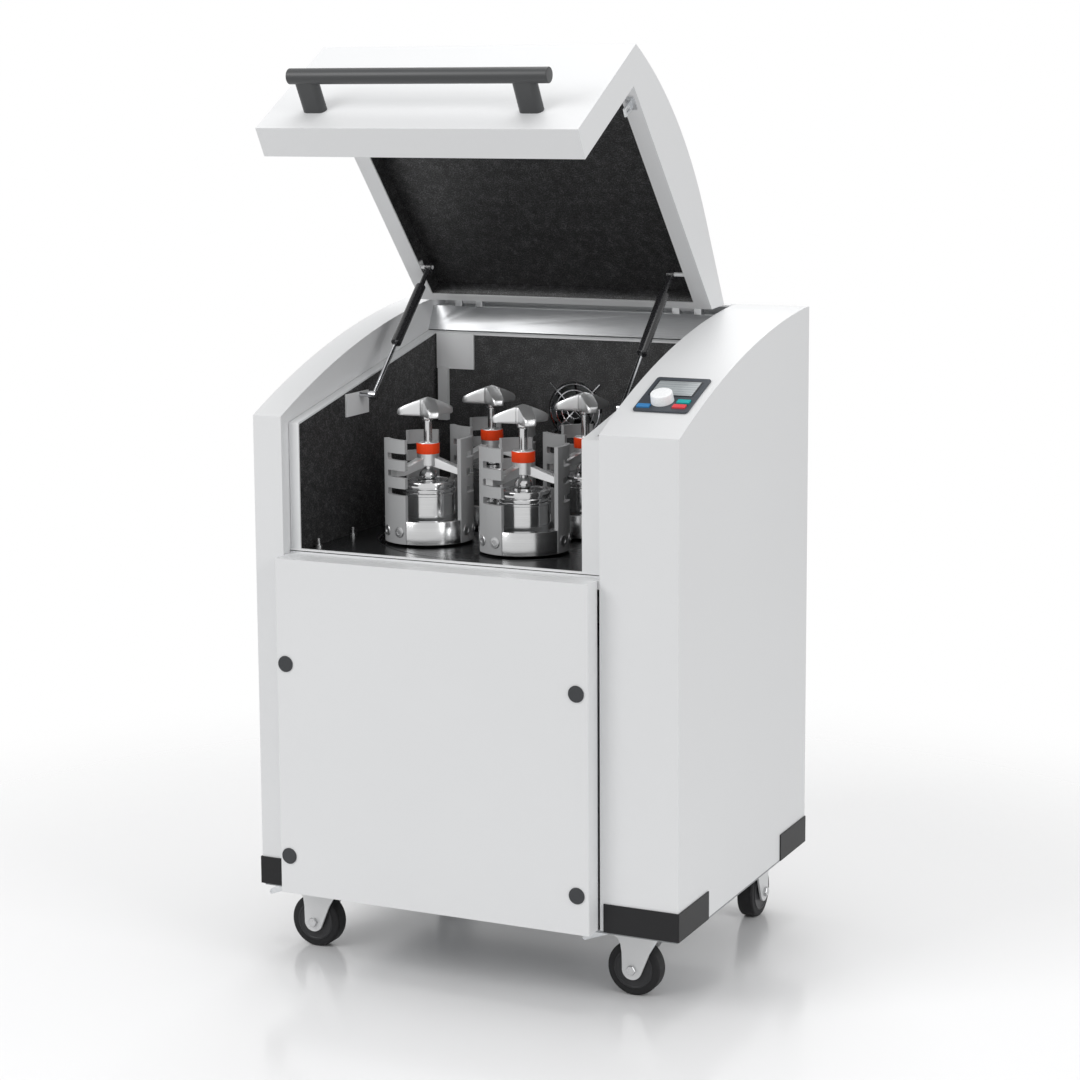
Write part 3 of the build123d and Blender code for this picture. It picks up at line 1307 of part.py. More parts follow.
    # Clamping spindle: foot on the jar, screw, and a three-lobed grip.
    with BuildPart() as spindle:
        foot_bottom = JAR_TOP_Z + AIR
        rod((*station, foot_bottom), (0, 0, 1), FOOT_RADIUS, FOOT_RIM)
        with Locations((*station, foot_bottom + FOOT_RIM)):
            Cone(
                FOOT_RADIUS,
                SPINDLE_RADIUS,
                FOOT_TOP_Z - foot_bottom - FOOT_RIM,
                align=(Align.CENTER, Align.CENTER, Align.MIN),
            )
        rod((*station, FOOT_TOP_Z - 2), (0, 0, 1), SPINDLE_RADIUS, GRIP_TOP_Z - FOOT_TOP_Z)
        for lobe_angle in LOBE_ANGLES:
            lobe_turn = radians(lobe_angle)
            lobe_side = Plane(
                (*station, 0),
                x_dir=(cos(lobe_turn), sin(lobe_turn), 0),
                z_dir=(sin(lobe_turn), -cos(lobe_turn), 0),
            )
            with BuildSketch(lobe_side.offset(-GRIP_WIDTH / 2)) as lobe_face:
                with BuildLine():
                    Polyline(
                        (0, GRIP_BOTTOM_Z + 2),
                        (0, GRIP_TOP_Z),
                        (GRIP_WIDTH / 2, GRIP_TOP_Z - 1),
                        (GRIP_REACH, GRIP_BOTTOM_Z + GRIP_TIP + 1),
                        (GRIP_REACH, GRIP_BOTTOM_Z + 1),
                        (GRIP_REACH - 3, GRIP_BOTTOM_Z),
                        (GRIP_WIDTH, GRIP_BOTTOM_Z + 2),
                        close=True,
                    )
                make_face()
            extrude(lobe_face.sketch, amount=GRIP_WIDTH)
    save(spindle.part, "spindle_" + place)

# ---------------------------------------------------------------- control panel

# Dark bezel let into the slope, with pockets for the knob and the keys.
KNOB_PLACE = (-7.0, -28.0)
KNOB_PIN_RADIUS = 3.0
KEYS = {"blue": (-35.0, -48.0), "green": (32.0, -27.0), "red": (30.5, -45.0)}
with BuildPart() as control_bezel:
    with BuildSketch(BEZEL_PLANE) as bezel_face:
        RectangleRounded(BEZEL_WIDTH, BEZEL_LENGTH, 6)
    extrude(bezel_face.sketch, amount=BEZEL_PROUD)
    with BuildSketch(BEZEL_PLANE) as bezel_body:
        Rectangle(BEZEL_WIDTH - 2 * BEZEL_RIM - 1, BEZEL_LENGTH - 2 * BEZEL_RIM - 1)
    extrude(bezel_body.sketch, amount=-BEZEL_DEPTH + 2)
    with BuildSketch(BEZEL_PLANE.offset(BEZEL_PROUD)) as pockets:
        for key_place in KEYS.values():
            with Locations(key_place):
                Rectangle(KEY_WIDTH + 1, KEY_LENGTH + 1)
    extrude(pockets.sketch, amount=-BEZEL_PROUD - 6, mode=Mode.SUBTRACT)
    with BuildSketch(BEZEL_PLANE.offset(BEZEL_PROUD)) as pin_hole:
        with Locations(KNOB_PLACE):
            Circle(KNOB_PIN_RADIUS + FIT)
    extrude(pin_hole.sketch, amount=-BEZEL_PROUD - 8, mode=Mode.SUBTRACT)
save(control_bezel.part, "control_bezel")

with BuildPart() as control_knob:
    with BuildSketch(BEZEL_PLANE.offset(BEZEL_PROUD + AIR)) as knob_face:
        with Locations(KNOB_PLACE):
            Circle(KNOB_RADIUS)
    extrude(knob_face.sketch, amount=KNOB_HEIGHT, taper=4)
    fillet(control_knob.edges().group_by(Axis.Z)[-1], 1.5)
    with BuildSketch(BEZEL_PLANE.offset(BEZEL_PROUD - 7)) as knob_pin:
        with Locations(KNOB_PLACE):
            Circle(KNOB_PIN_RADIUS)
    extrude(knob_pin.sketch, amount=8)
save(control_knob.part, "control_knob")

for key, key_place in KEYS.items():
    with BuildPart() as push_key:
        with BuildSketch(BEZEL_PLANE.offset(BEZEL_PROUD - 6 + KEY_TRAVEL + AIR)) as key_face:
            with Locations(key_place):
                Rectangle(KEY_WIDTH, KEY_LENGTH)
        extrude(key_face.sketch, amount=6 - KEY_TRAVEL - AIR + KEY_PROUD)
    save(push_key.part, "key_" + key)
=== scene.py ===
import bpy
import bmesh
import json
import math
import numpy as np
from mathutils import Matrix, Vector


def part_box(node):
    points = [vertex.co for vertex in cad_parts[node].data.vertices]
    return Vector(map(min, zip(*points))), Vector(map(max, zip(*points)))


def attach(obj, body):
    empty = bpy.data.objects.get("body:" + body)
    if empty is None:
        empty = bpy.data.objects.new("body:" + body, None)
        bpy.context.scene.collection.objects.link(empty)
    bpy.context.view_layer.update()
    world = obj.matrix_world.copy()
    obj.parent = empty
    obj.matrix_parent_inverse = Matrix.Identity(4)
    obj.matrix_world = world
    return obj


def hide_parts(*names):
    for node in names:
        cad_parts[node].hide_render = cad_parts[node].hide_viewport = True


# A floor-standing planetary ball mill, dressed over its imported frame. Metres throughout.
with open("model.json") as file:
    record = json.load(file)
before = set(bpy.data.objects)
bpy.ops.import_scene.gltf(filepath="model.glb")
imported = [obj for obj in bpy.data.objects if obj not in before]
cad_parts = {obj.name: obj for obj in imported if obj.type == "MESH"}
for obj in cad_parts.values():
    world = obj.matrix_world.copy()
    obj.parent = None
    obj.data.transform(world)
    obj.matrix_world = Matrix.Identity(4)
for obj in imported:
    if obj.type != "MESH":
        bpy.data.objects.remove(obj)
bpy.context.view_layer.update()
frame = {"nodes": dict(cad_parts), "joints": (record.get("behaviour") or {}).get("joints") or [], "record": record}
nodes = frame["nodes"]
record = frame["record"]
body_of_node = {
    node: body for body, held in record["behaviour"]["bodies"].items() for node in held
}
joints = {joint["name"]: joint for joint in frame["joints"]}
MM = 0.001


# ------------------------------------------------------------------ cabinet
# Folded steel covers in a light grey powder coat: two columns, the front panel and the rear
# cover. Their edges are bent, so they are rounded and catch the light, and the coat has a
# fine orange-peel skin.


class Value:
    """A shader number that takes part in Python expressions; each operator adds a Math node."""

    def __init__(self, finish, socket):
        self.finish = finish
        self.socket = socket

    def maths(self, how, first, second=0.0):
        operands = {0: first, 1: second}
        return self.finish.node("ShaderNodeMath", {"operation": how}, operands)["Value"]

    def __add__(self, other):
        return self.maths("ADD", self, other)

    def __sub__(self, other):
        return self.maths("SUBTRACT", self, other)

    def __rsub__(self, other):
        return self.maths("SUBTRACT", other, self)

    def __mul__(self, other):
        return self.maths("MULTIPLY", self, other)

    def __gt__(self, other):
        return self.maths("GREATER_THAN", self, other)

    def __lt__(self, other):
        return self.maths("LESS_THAN", self, other)

    def root(self):
        return self.maths("SQRT", self)

    def sine(self):
        return self.maths("SINE", self)

    __radd__ = __add__
    __rmul__ = __mul__


class Finish:
    """One material. node() adds any node: its settings first, then the values of its sockets."""

    def __init__(self, name, colour, roughness, metallic=0.0, **fixed):
        self.material = bpy.data.materials.new(name)
        self.material.use_nodes = True
        self.tree = self.material.node_tree
        self.shader = self.tree.nodes["Principled BSDF"]
        self.set("Base Color", (*colour, 1.0))
        self.set("Roughness", roughness)
        self.set("Metallic", metallic)
        for socket, amount in fixed.items():
            self.set(socket.replace("_", " "), amount)
        self.material.diffuse_color = (*colour, 1.0)

    def node(self, kind, settings=None, sockets=None):
        made = self.tree.nodes.new(kind)
        for key, setting in (settings or {}).items():
            if key == "stops":
                ramp = made.color_ramp
                while len(ramp.elements) < len(setting):
                    ramp.elements.new(0.5)
                for element, (place, colour) in zip(ramp.elements, setting):
                    element.position = place
                    element.color = (*colour, 1.0)
            else:
                setattr(made, key, setting)
        for key, entry in (sockets or {}).items():
            self.feed(made.inputs[key], entry)
        return {out.name: Value(self, out) for out in made.outputs if out.enabled}

    def feed(self, socket, entry):
        if isinstance(entry, Value):
            self.tree.links.new(entry.socket, socket)
        else:
            socket.default_value = entry

    def set(self, socket, entry):
        self.feed(self.shader.inputs[socket], entry)

    def place(self):
        """Object coordinates, which are the row frame's own, in metres."""
        return self.node("ShaderNodeTexCoord")["Object"]

    def split(self, vector=None):
        """X, Y and Z of a vector, or of the place."""
        return self.node("ShaderNodeSeparateXYZ", {}, {"Vector": vector or self.place()})

    def noise(self, scale, detail=3.0, vector=None):
        sockets = {"Vector": vector or self.place(), "Scale": scale, "Detail": detail}
        return self.node("ShaderNodeTexNoise", {}, sockets)["Fac"]

    def mix(self, factor, low, high):
        """Colour between low and high by a factor."""
        made = self.tree.nodes.new("ShaderNodeMix")
        made.data_type = "RGBA"
        self.feed(made.inputs["Factor"], factor)
        for label, entry in (("A", low), ("B", high)):
            socket = next(s for s in made.inputs if s.name == label and s.type == "RGBA")
            self.feed(socket, entry if isinstance(entry, Value) else (*entry, 1.0))
        return Value(self, next(s for s in made.outputs if s.type == "RGBA"))

    def bump(self, height, depth, strength):
        """Relief of that depth in metres."""
        sockets = {"Height": height, "Distance": depth, "Strength": strength}
        self.set("Normal", self.node("ShaderNodeBump", {}, sockets)["Normal"])


def coated(name, colour, roughness, peel=900.0):
    """Powder coat: an orange-peel relief of that many cells to the metre, and a faint cloud
    in the colour and the gloss."""
    finish = Finish(name, colour, roughness, Specular_IOR_Level=0.45)
    cloud = finish.noise(3.0, 2.0)
    dark = tuple(0.965 * part for part in colour)
    finish.set("Base Color", finish.mix(cloud, dark, colour))
    finish.set("Roughness", cloud * 0.10 + (roughness - 0.05))
    finish.bump(finish.noise(peel, 2.0), depth=0.04 * MM, strength=0.35)
    return finish


WHITE = (0.75, 0.757, 0.765)
COAT_ROUGHNESS = 0.42
powder_white = coated("powder_coat_white", WHITE, COAT_ROUGHNESS)

SHARP = math.radians(35)  # edges sharper than this stay sharp in the shading
EDGE = math.radians(30)  # edges sharper than this are rounded
FLAT = math.radians(0.4)  # neighbouring faces flatter than this become one
MERGE = 0.02 * MM  # corners nearer than this become one
BEND = 1.8 * MM  # outer radius of a bend in the covers


def linked(name, data):
    """A new object of the scene."""
    thing = bpy.data.objects.new(name, data)
    bpy.context.collection.objects.link(thing)
    return thing


def finish_piece(piece, finish, body):
    """Gives a piece its material and its smooth shading, and lets it ride on its body."""
    piece.data.materials.clear()
    piece.data.materials.append(finish.material)
    piece.data.shade_smooth()
    piece.data.set_sharp_from_angle(angle=SHARP)
    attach(piece, body)
    return piece


def dressed(node, finish, edge=0.0, segments=2):
    """A merged copy of a frame node with its flat faces joined and its edges rounded by edge."""
    mesh = bpy.data.meshes.new(node + "_look")
    work = bmesh.new()
    work.from_mesh(nodes[node].data)
    bmesh.ops.remove_doubles(work, verts=work.verts, dist=MERGE)
    bmesh.ops.dissolve_limit(
        work, angle_limit=FLAT, verts=work.verts, edges=work.edges, delimit={"NORMAL"}
    )
    work.to_mesh(mesh)
    work.free()
    piece = linked(node + "_look", mesh)
    if edge:
        bevel = piece.modifiers.new("edge", "BEVEL")
        bevel.width = edge
        bevel.segments = segments
        bevel.limit_method = "ANGLE"
        bevel.angle_limit = EDGE
        bevel.harden_normals = True
    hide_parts(node)
    return finish_piece(piece, finish, body_of_node[node])


for cover in ("left_column", "right_column", "front_panel", "rear_cover"):
    dressed(cover, powder_white, BEND, segments=3)


# ------------------------------------------------------------------ guards and screw caps
# Black glass-filled nylon plates, moulded and screwed on at the cabinet's lower corners, and
# the dark moulded plugs that close the front panel's screws.


def moulded(name, colour, roughness, grain=600.0, depth=0.06 * MM):
    """Moulded plastic with a fine eroded grain."""
    finish = Finish(name, colour, roughness, Specular_IOR_Level=0.2)
    speck = finish.noise(grain, 4.0)
    light = tuple(1.35 * part for part in colour)
    finish.set("Base Color", finish.mix(speck, colour, light))
    finish.bump(speck, depth, strength=0.6)
    return finish


guard_nylon = moulded("guard_nylon", (0.016, 0.016, 0.017), 0.42)
cap_plastic = moulded("cap_plastic", (0.045, 0.047, 0.05), 0.5)
dressed("corner_guards", guard_nylon, edge=0.9 * MM)
dressed("panel_caps", cap_plastic, edge=0.8 * MM)


# ------------------------------------------------------------------ lid
# A deep folded hood on two hinges, in the cabinet's powder coat, with a black coated grab bar
# on two posts across its front.

dressed("lid_shell", powder_white, BEND, segments=3)
bar_coat = coated("bar_coat", (0.052, 0.054, 0.056), 0.38, 700.0)
dressed("lid_handle", bar_coat, edge=1.2 * MM)


# ------------------------------------------------------------------ linings
# Dense black foam with a mottled, slightly shiny embossed face, cut to size and glued to the
# lid and to the chamber's walls.


def foam(name):
    """Embossed foam: fine cells of two sizes mottle the colour, and the finer ones the relief."""
    finish = Finish(name, (0.02, 0.02, 0.021), 0.55, Specular_IOR_Level=0.5)
    grit = finish.noise(420.0, 5.0)
    patch = finish.noise(60.0, 2.0)
    shades = [
        (0.40, (0.006, 0.006, 0.0065)),
        (0.52, (0.024, 0.024, 0.025)),
        (0.66, (0.095, 0.096, 0.098)),
    ]
    level = grit * 0.75 + patch * 0.25
    shade = finish.node("ShaderNodeValToRGB", {"stops": shades}, {"Fac": level})["Color"]
    finish.set("Base Color", shade)
    finish.set("Roughness", grit * -0.5 + 0.72)
    finish.bump(grit, depth=0.6 * MM, strength=0.8)
    return finish


black_foam = foam("black_foam")
for lining in ("chamber_lining", "lid_lining"):
    dressed(lining, black_foam)


# ------------------------------------------------------------------ chamber
# White sheet-steel tub round the sun wheel, with turned-out rims that carry the seals and a
# clouded dark steel floor. The drive hangs below it, and three short steel studs stand on
# its floor along the left wall.

FLOOR_Z = 780 * MM
FLOOR_BAND = 0.8 * MM


def on_floor(finish):
    """1 on the chamber's level floor and 0 on the painted walls, rims and well."""
    height = finish.split()["Z"]
    return (height > FLOOR_Z - FLOOR_BAND) * (height < FLOOR_Z + FLOOR_BAND)


tub_paint = coated("tub_paint", WHITE, COAT_ROUGHNESS)
cloud_grey = tub_paint.mix(tub_paint.noise(40.0), (0.035, 0.036, 0.038), (0.075, 0.077, 0.08))
tub_mask = on_floor(tub_paint)
tub_paint.set("Base Color", tub_paint.mix(tub_mask, WHITE, cloud_grey))
tub_paint.set("Metallic", tub_mask * 0.7)
tub_paint.set("Roughness", COAT_ROUGHNESS - tub_mask * 0.16)
dressed("chamber_tub", tub_paint, edge=0.8 * MM)


def reach(parts):
    """Distance from the upright line through the origin: the root of x squared + y squared."""
    return (parts["X"] * parts["X"] + parts["Y"] * parts["Y"]).root()


def brushed(name, colour, roughness, scale, centre=None, stretch=(1, 1, 1)):
    """Brushed steel: noise drawn out along the brushing, or round a centre where it is turned."""
    finish = Finish(name, colour, roughness, 1.0)
    place = finish.place()
    if centre is not None:
        operands = {0: place, 1: (*centre[:2], 0.0)}
        moved = finish.node("ShaderNodeVectorMath", {"operation": "SUBTRACT"}, operands)["Vector"]
        parts = finish.split(moved)
        sockets = {"X": reach(parts), "Y": 0.0, "Z": parts["Z"]}
        place = finish.node("ShaderNodeCombineXYZ", {}, sockets)["Vector"]
    mapped = finish.node("ShaderNodeMapping", {}, {"Vector": place, "Scale": stretch})["Vector"]
    lines = finish.noise(scale, 4.0, mapped)
    dark = tuple(0.78 * part for part in colour)
    finish.set("Base Color", finish.mix(lines, dark, colour))
    finish.set("Roughness", lines * 0.16 + (roughness - 0.08))
    finish.bump(lines, depth=0.02 * MM, strength=0.5)
    return finish


SUN = np.array(joints["sun_spin"]["pos_m"])
disc_steel = brushed("disc_steel", (0.085, 0.088, 0.092), 0.26, 500.0, SUN)
dressed("sun_wheel", disc_steel, edge=0.8 * MM)
cast_grey = coated("cast_grey", (0.30, 0.31, 0.32), 0.5, 500.0)
for inner in ("inner_frame", "bearing_housing", "motor"):
    dressed(inner, cast_grey, edge=1.0 * MM)
belt_rubber = moulded("belt_rubber", (0.02, 0.02, 0.02), 0.6)
for belt in ("planet_belts", "drive_belt"):
    nodes[belt].data.materials.clear()
    nodes[belt].data.materials.append(belt_rubber.material)


def closed_mesh(name, points, faces):
    """Mesh with its doubled points merged and its faces turned outwards."""
    mesh = bpy.data.meshes.new(name)
    mesh.from_pydata(points.tolist(), [], faces)
    work = bmesh.new()
    work.from_mesh(mesh)
    bmesh.ops.remove_doubles(work, verts=work.verts, dist=0.001 * MM)
    bmesh.ops.recalc_face_normals(work, faces=work.faces)
    work.to_mesh(mesh)
    work.free()
    return mesh


def skin(name, rings, finish, body, wrap=False):
    """Piece through rings of points, an array of (rings, points, 3): quads join each ring to
    the next, and a fan from its middle closes each end ring. With wrap, quads join the last
    ring to the first instead."""
    rings = np.asarray(rings, float)
    count, around = rings.shape[:2]
    points = rings.reshape(-1, 3)
    ring, step = np.meshgrid(
        np.arange(count if wrap else count - 1), np.arange(around), indexing="ij"
    )
    beside, above = (step + 1) % around, (ring + 1) % count
    quads = [
        ring * around + step,
        ring * around + beside,
        above * around + beside,
        above * around + step,
    ]
    faces = np.stack(quads, -1).reshape(-1, 4).tolist()
    if not wrap:
        steps = np.arange(around)
        following = (steps + 1) % around
        points = np.vstack([points, rings[[0, -1]].mean(axis=1)])
        first, last = len(points) - 2, len(points) - 1
        top = (count - 1) * around
        faces += np.stack([following, steps, np.full(around, first)], -1).tolist()
        faces += np.stack([top + steps, top + following, np.full(around, last)], -1).tolist()
    piece = linked(name, closed_mesh(name, points, faces))
    return finish_piece(piece, finish, body)


def basis(normal):
    """Two unit vectors square to a normal and to each other, and the normal itself."""
    normal = np.asarray(normal, float) / np.linalg.norm(normal)
    helper = np.array([0.0, 0.0, 1.0]) if abs(normal[2]) < 0.9 else np.array([1.0, 0.0, 0.0])
    across = np.cross(helper, normal)
    across /= np.linalg.norm(across)
    return across, np.cross(normal, across), normal


def turned_piece(name, profile, centre, normal, finish, body, around=64, band=False):
    """Turned piece: each (radius, height) of the profile is carried round the normal through
    the centre, as centre + radius (cos a, sin a) + height normal. A band's profile is a loop."""
    across, beside, normal = basis(normal)
    angle = np.linspace(0, 2 * math.pi, around, endpoint=False)
    circle = np.cos(angle)[:, None] * across + np.sin(angle)[:, None] * beside
    profile = np.asarray(profile, float)
    rings = (
        np.asarray(centre, float)
        + np.maximum(profile[:, 0], 1e-6)[:, None, None] * circle
        + profile[:, 1][:, None, None] * normal
    )
    return skin(name, rings, finish, body, wrap=band)


UP = (0, 0, 1)
STUD = np.array([(0, 0), (6.5, 0), (6.5, 4), (3.4, 4.2), (3.4, 15), (2.6, 16), (0, 16)]) * MM
STUD_INSET = 19 * MM  # from the left lining's outer face
STUD_DEPTHS = np.array([75, 205, 338]) * MM  # from the cabinet's front
stud_metal = Finish("stud_steel", (0.62, 0.625, 0.63), 0.25, 1.0)
stud_metal.set("Roughness", stud_metal.noise(600.0) * 0.2 + 0.16)
stud_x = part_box("chamber_lining")[0][0] + STUD_INSET
front_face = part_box("left_column")[0][1]
for row, depth in enumerate(STUD_DEPTHS):
    foot = (stud_x, front_face + depth, FLOOR_Z)
    turned_piece(f"stud_{row}", STUD, foot, UP, stud_metal, "cabinet", around=24)


# ------------------------------------------------------------------ hinge beam and hinges
# Anodised aluminium profile with two grooves along it, drawn in one length and screwed on
# behind the chamber. It carries the hinge ears and their pins.

beam_metal = brushed("beam_aluminium", (0.70, 0.71, 0.72), 0.34, 900.0, stretch=(0.04, 1, 1))
dressed("hinge_beam", beam_metal, edge=0.6 * MM)


# ------------------------------------------------------------------ grinding stations
# Each has a polished ring with three grey slotted uprights, a stainless jar with a rimmed lid,
# a clamping bridge with an orange-red safety ring, and a screw with a three-armed grip.

STATION_NAMES = ("front_left", "front_right", "rear_right", "rear_left")
upright_grey = coated("upright_grey", (0.40, 0.405, 0.41), 0.46)
ring_red = moulded("ring_red", (0.80, 0.060, 0.012), 0.32, grain=500.0, depth=0.03 * MM)
grip_steel = Finish("grip_steel", (0.78, 0.785, 0.79), 0.30, 0.85)
grip_steel.bump(grip_steel.noise(900.0), depth=0.03 * MM, strength=0.5)
grip_steel.set("Roughness", grip_steel.noise(120.0, 2.0) * 0.16 + 0.26)
zinc_head = Finish("screw_zinc", (0.60, 0.605, 0.61), 0.3, 0.9)
zinc_head.set("Roughness", zinc_head.noise(700.0) * 0.2 + 0.2)

# Screws at the foot of each upright, a pair to either side of its middle.
UPRIGHT_TURNS = (5, 125, 245)
SCREW_TURNS = (-12, 12)
SCREW_REACH, SCREW_Z = 84 * MM, 807 * MM
SCREW_HEAD = np.array(
    [(0, -0.5), (10, -0.5), (10, 0.9), (9.2, 1.8), (5.2, 2.2), (4.8, 1.2), (0, 1.2)]
) * MM

# Polished outer face and top of the holder's ring, as a closed loop.
RING_BAND = np.array(
    [(82.7, 785.2), (82.7, 826.2), (82.0, 827.3), (67.4, 827.3)]
    + [(67.4, 826.6), (81.5, 826.6), (81.5, 785.2)]
) * MM

# Jar with its rolled collar, and its lid with two rims.
JAR = np.array(
    [(0, 796.5), (47, 796.5), (49.4, 799), (49.6, 862), (49.6, 868.5), (51.0, 869.5)]
    + [(51.0, 873.5), (49.8, 874.6), (47.5, 874.6), (47.5, 876.6), (51.0, 877.6)]
    + [(51.2, 881.0), (50.2, 882.2), (47.8, 882.8), (47.4, 884.8), (50.6, 886.0)]
    + [(50.8, 892.4), (49.6, 894.6), (38, 895.6), (36, 894.2), (20, 894.2)]
    + [(18.5, 896.6), (0, 897.0)]
) * MM

# Spindle: its foot on the jar's lid, the shank, the thread's crests and roots, and the hub.
THREAD_Z, THREAD_STEP, THREAD_DEPTH, THREAD_ROWS = 966, 1.6, 0.35, 26
SPINDLE = np.array(
    [(0, 897.4), (13, 897.4), (16.6, 900.5), (17.2, 904), (15.8, 909), (11, 913.5)]
    + [(8.2, 916), (8.0, THREAD_Z)]
    + [
        (8.0 - THREAD_DEPTH * (row % 2), THREAD_Z + THREAD_STEP * row)
        for row in range(THREAD_ROWS)
    ]
    + [(11.5, 1009), (12, 1016), (0, 1016)]
) * MM


def rounded_profile(radius, low, high, edge, steps=4):
    """Half outline of a disc from its lower to its upper middle, its rims rounded by edge."""
    turn = np.linspace(0, math.pi / 2, steps + 1)
    lower = np.stack([radius - edge + edge * np.sin(turn), low + edge - edge * np.cos(turn)], -1)
    upper = np.stack([radius - edge + edge * np.cos(turn), high - edge + edge * np.sin(turn)], -1)
    return np.vstack([[0, low], lower, upper, [0, high]])


SAFETY_RING = rounded_profile(radius=21.6, low=944.5, high=964.5, edge=1.6) * MM

ARM_TURNS = (70, 190, 310)
ARM_LENGTH, ARM_HALF_WIDTH, GRIP_CORE = 57 * MM, 12.5 * MM, 17 * MM
GRIP_LOW, GRIP_CREST, GRIP_FALL = 1015 * MM, 1050 * MM, 23 * MM
# The grip's rings, from its underside over its rim: shares of the outline and of the height.
GRIP_LEVELS = [(0.02, 0.0), (0.5, 0.0), (0.90, 0.0), (0.97, 0.06), (1.0, 0.22), (1.0, 0.70)]
GRIP_LEVELS += [(0.975, 0.92), (0.93, 1.0), (0.7, 1.0), (0.45, 1.0), (0.22, 1.0), (0.02, 1.0)]


def grip_rings(centre):
    """Three-armed grip. Its outline at an angle is the longest of three rounded bars,
    r = 1 / ((cos/L)^6 + (sin/w)^6)^(1/6), and its top falls away from the middle towards
    the arms' ends while its underside stays level."""
    angle = np.linspace(0, 2 * math.pi, 144, endpoint=False)
    outline = np.full_like(angle, GRIP_CORE)
    for arm in ARM_TURNS:
        off = (angle - math.radians(arm) + math.pi) % (2 * math.pi) - math.pi
        along, aside = np.maximum(np.cos(off), 1e-3), np.abs(np.sin(off))
        bar = ((along / ARM_LENGTH) ** 6 + (aside / ARM_HALF_WIDTH) ** 6) ** (-1 / 6)
        outline = np.maximum(outline, np.where(np.abs(off) < math.pi / 2, bar, 0))
    share, rise = np.array(GRIP_LEVELS).T[:, :, None]
    radius = outline * share
    top = GRIP_CREST - GRIP_FALL * (radius / ARM_LENGTH) ** 1.15
    height = GRIP_LOW + (top - GRIP_LOW) * rise
    return np.stack(
        [centre[0] + radius * np.cos(angle), centre[1] + radius * np.sin(angle), height], -1
    )


for station in STATION_NAMES:
    low, high = (np.array(corner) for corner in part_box("jar_" + station))
    base = (low + high) / 2 * (1, 1, 0)
    planet = "planet_" + station
    clamp = "clamp_" + station
    screw = "screw_" + station
    ring_steel = brushed("ring_steel_" + station, (0.74, 0.745, 0.75), 0.20, 900.0, base)
    jar_steel = brushed("jar_steel_" + station, (0.80, 0.805, 0.81), 0.16, 1400.0, base)

    dressed("holder_" + station, upright_grey, edge=0.7 * MM)
    for turn in (upright + off for upright in UPRIGHT_TURNS for off in SCREW_TURNS):
        outward = np.array([math.cos(math.radians(turn)), math.sin(math.radians(turn)), 0.0])
        head = base + SCREW_REACH * outward + SCREW_Z * np.array(UP)
        turned_piece(
            f"screw_{station}_{turn}", SCREW_HEAD, head, outward, zinc_head, planet,
            around=24,
        )
    turned_piece(
        "holder_ring_" + station, RING_BAND, base, UP, ring_steel, planet,
        around=96, band=True,
    )

    jar_piece = turned_piece(
        "jar_turned_" + station, JAR, base, UP, jar_steel, planet, around=96
    )
    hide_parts("jar_" + station)

    dressed("bridge_" + station, grip_steel, edge=0.8 * MM)
    turned_piece(
        "safety_ring_" + station, SAFETY_RING, base, UP, ring_red, clamp
    )

    screw_piece = turned_piece(
        "spindle_turned_" + station, SPINDLE, base, UP, jar_steel, screw
    )
    skin("grip_" + station, grip_rings(base), grip_steel, screw)
    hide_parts("spindle_" + station)


# ------------------------------------------------------------------ gas springs and fittings
# Two black painted cylinders with ground rods on ball studs, which hold the lid up. The studs'
# brackets are painted with the chamber, and the lock, its hook and the motor's pulley are
# zinc-plated.

spring_paint = Finish("spring_paint", (0.018, 0.018, 0.02), 0.25, Coat_Weight=0.3)
spring_paint.set("Roughness", spring_paint.noise(200.0) * 0.15 + 0.2)
rod_metal = Finish("rod_chrome", (0.62, 0.63, 0.65), 0.12, 1.0)
rod_metal.set("Roughness", rod_metal.noise(500.0) * 0.08 + 0.08)
zinc = Finish("zinc_plate", (0.66, 0.67, 0.68), 0.34, 0.9)
zinc_cloud = zinc.noise(90.0, 4.0)
zinc.set("Base Color", zinc.mix(zinc_cloud, (0.52, 0.54, 0.56), (0.78, 0.79, 0.80)))
zinc.set("Roughness", zinc_cloud * 0.25 + 0.24)
for side in ("left", "right"):
    dressed("gas_cylinder_" + side, spring_paint, edge=0.8 * MM)
    dressed("gas_rod_" + side, rod_metal)
for fitting in ("lid_striker", "lid_lock", "motor_pulley"):
    dressed(fitting, zinc, edge=0.5 * MM)
dressed("spring_brackets", powder_white, edge=0.5 * MM)


# ------------------------------------------------------------------ fan
# Small axial fan with a black moulded rotor, screwed on behind the rear lining under a
# chromed wire guard.

dressed("fan_rotor", guard_nylon)
dressed("fan_housing", rod_metal)


# ------------------------------------------------------------------ control panel
# Dark moulded bezel let into the right column's slope. It holds a display behind glass, a
# white turning knob and three coloured keys.


def slab(name, centre, size, radius, axes, finish, body, edge):
    """Rounded slab: a rectangle with corner arcs of the given radius, drawn along the third axis
    with its two rims rounded by edge. The axes are three unit vectors."""
    axes = np.asarray(axes, float)
    turn = np.linspace(0, math.pi / 2, 7)
    half = np.asarray(size[:2]) / 2

    def loop(inset):
        corner = max(radius - inset, 0.05 * MM)
        straight = half - inset - corner
        arcs = []
        for quarter, ways in enumerate(((1, 1), (-1, 1), (-1, -1), (1, -1))):
            angle = turn + quarter * math.pi / 2
            arc = corner * np.stack([np.cos(angle), np.sin(angle)], -1)
            arcs.append(straight * ways + arc)
        return np.vstack(arcs)

    bend = np.linspace(0, math.pi / 2, 4)
    top = size[2] / 2 - edge
    levels = [(edge - edge * math.sin(a), -top - edge * math.cos(a)) for a in bend]
    levels += [(edge - edge * math.cos(a), top + edge * math.sin(a)) for a in bend]
    rings = [
        np.asarray(centre, float) + loop(inset) @ axes[:2] + height * axes[2]
        for inset, height in levels
    ]
    return skin(name, rings, finish, body)


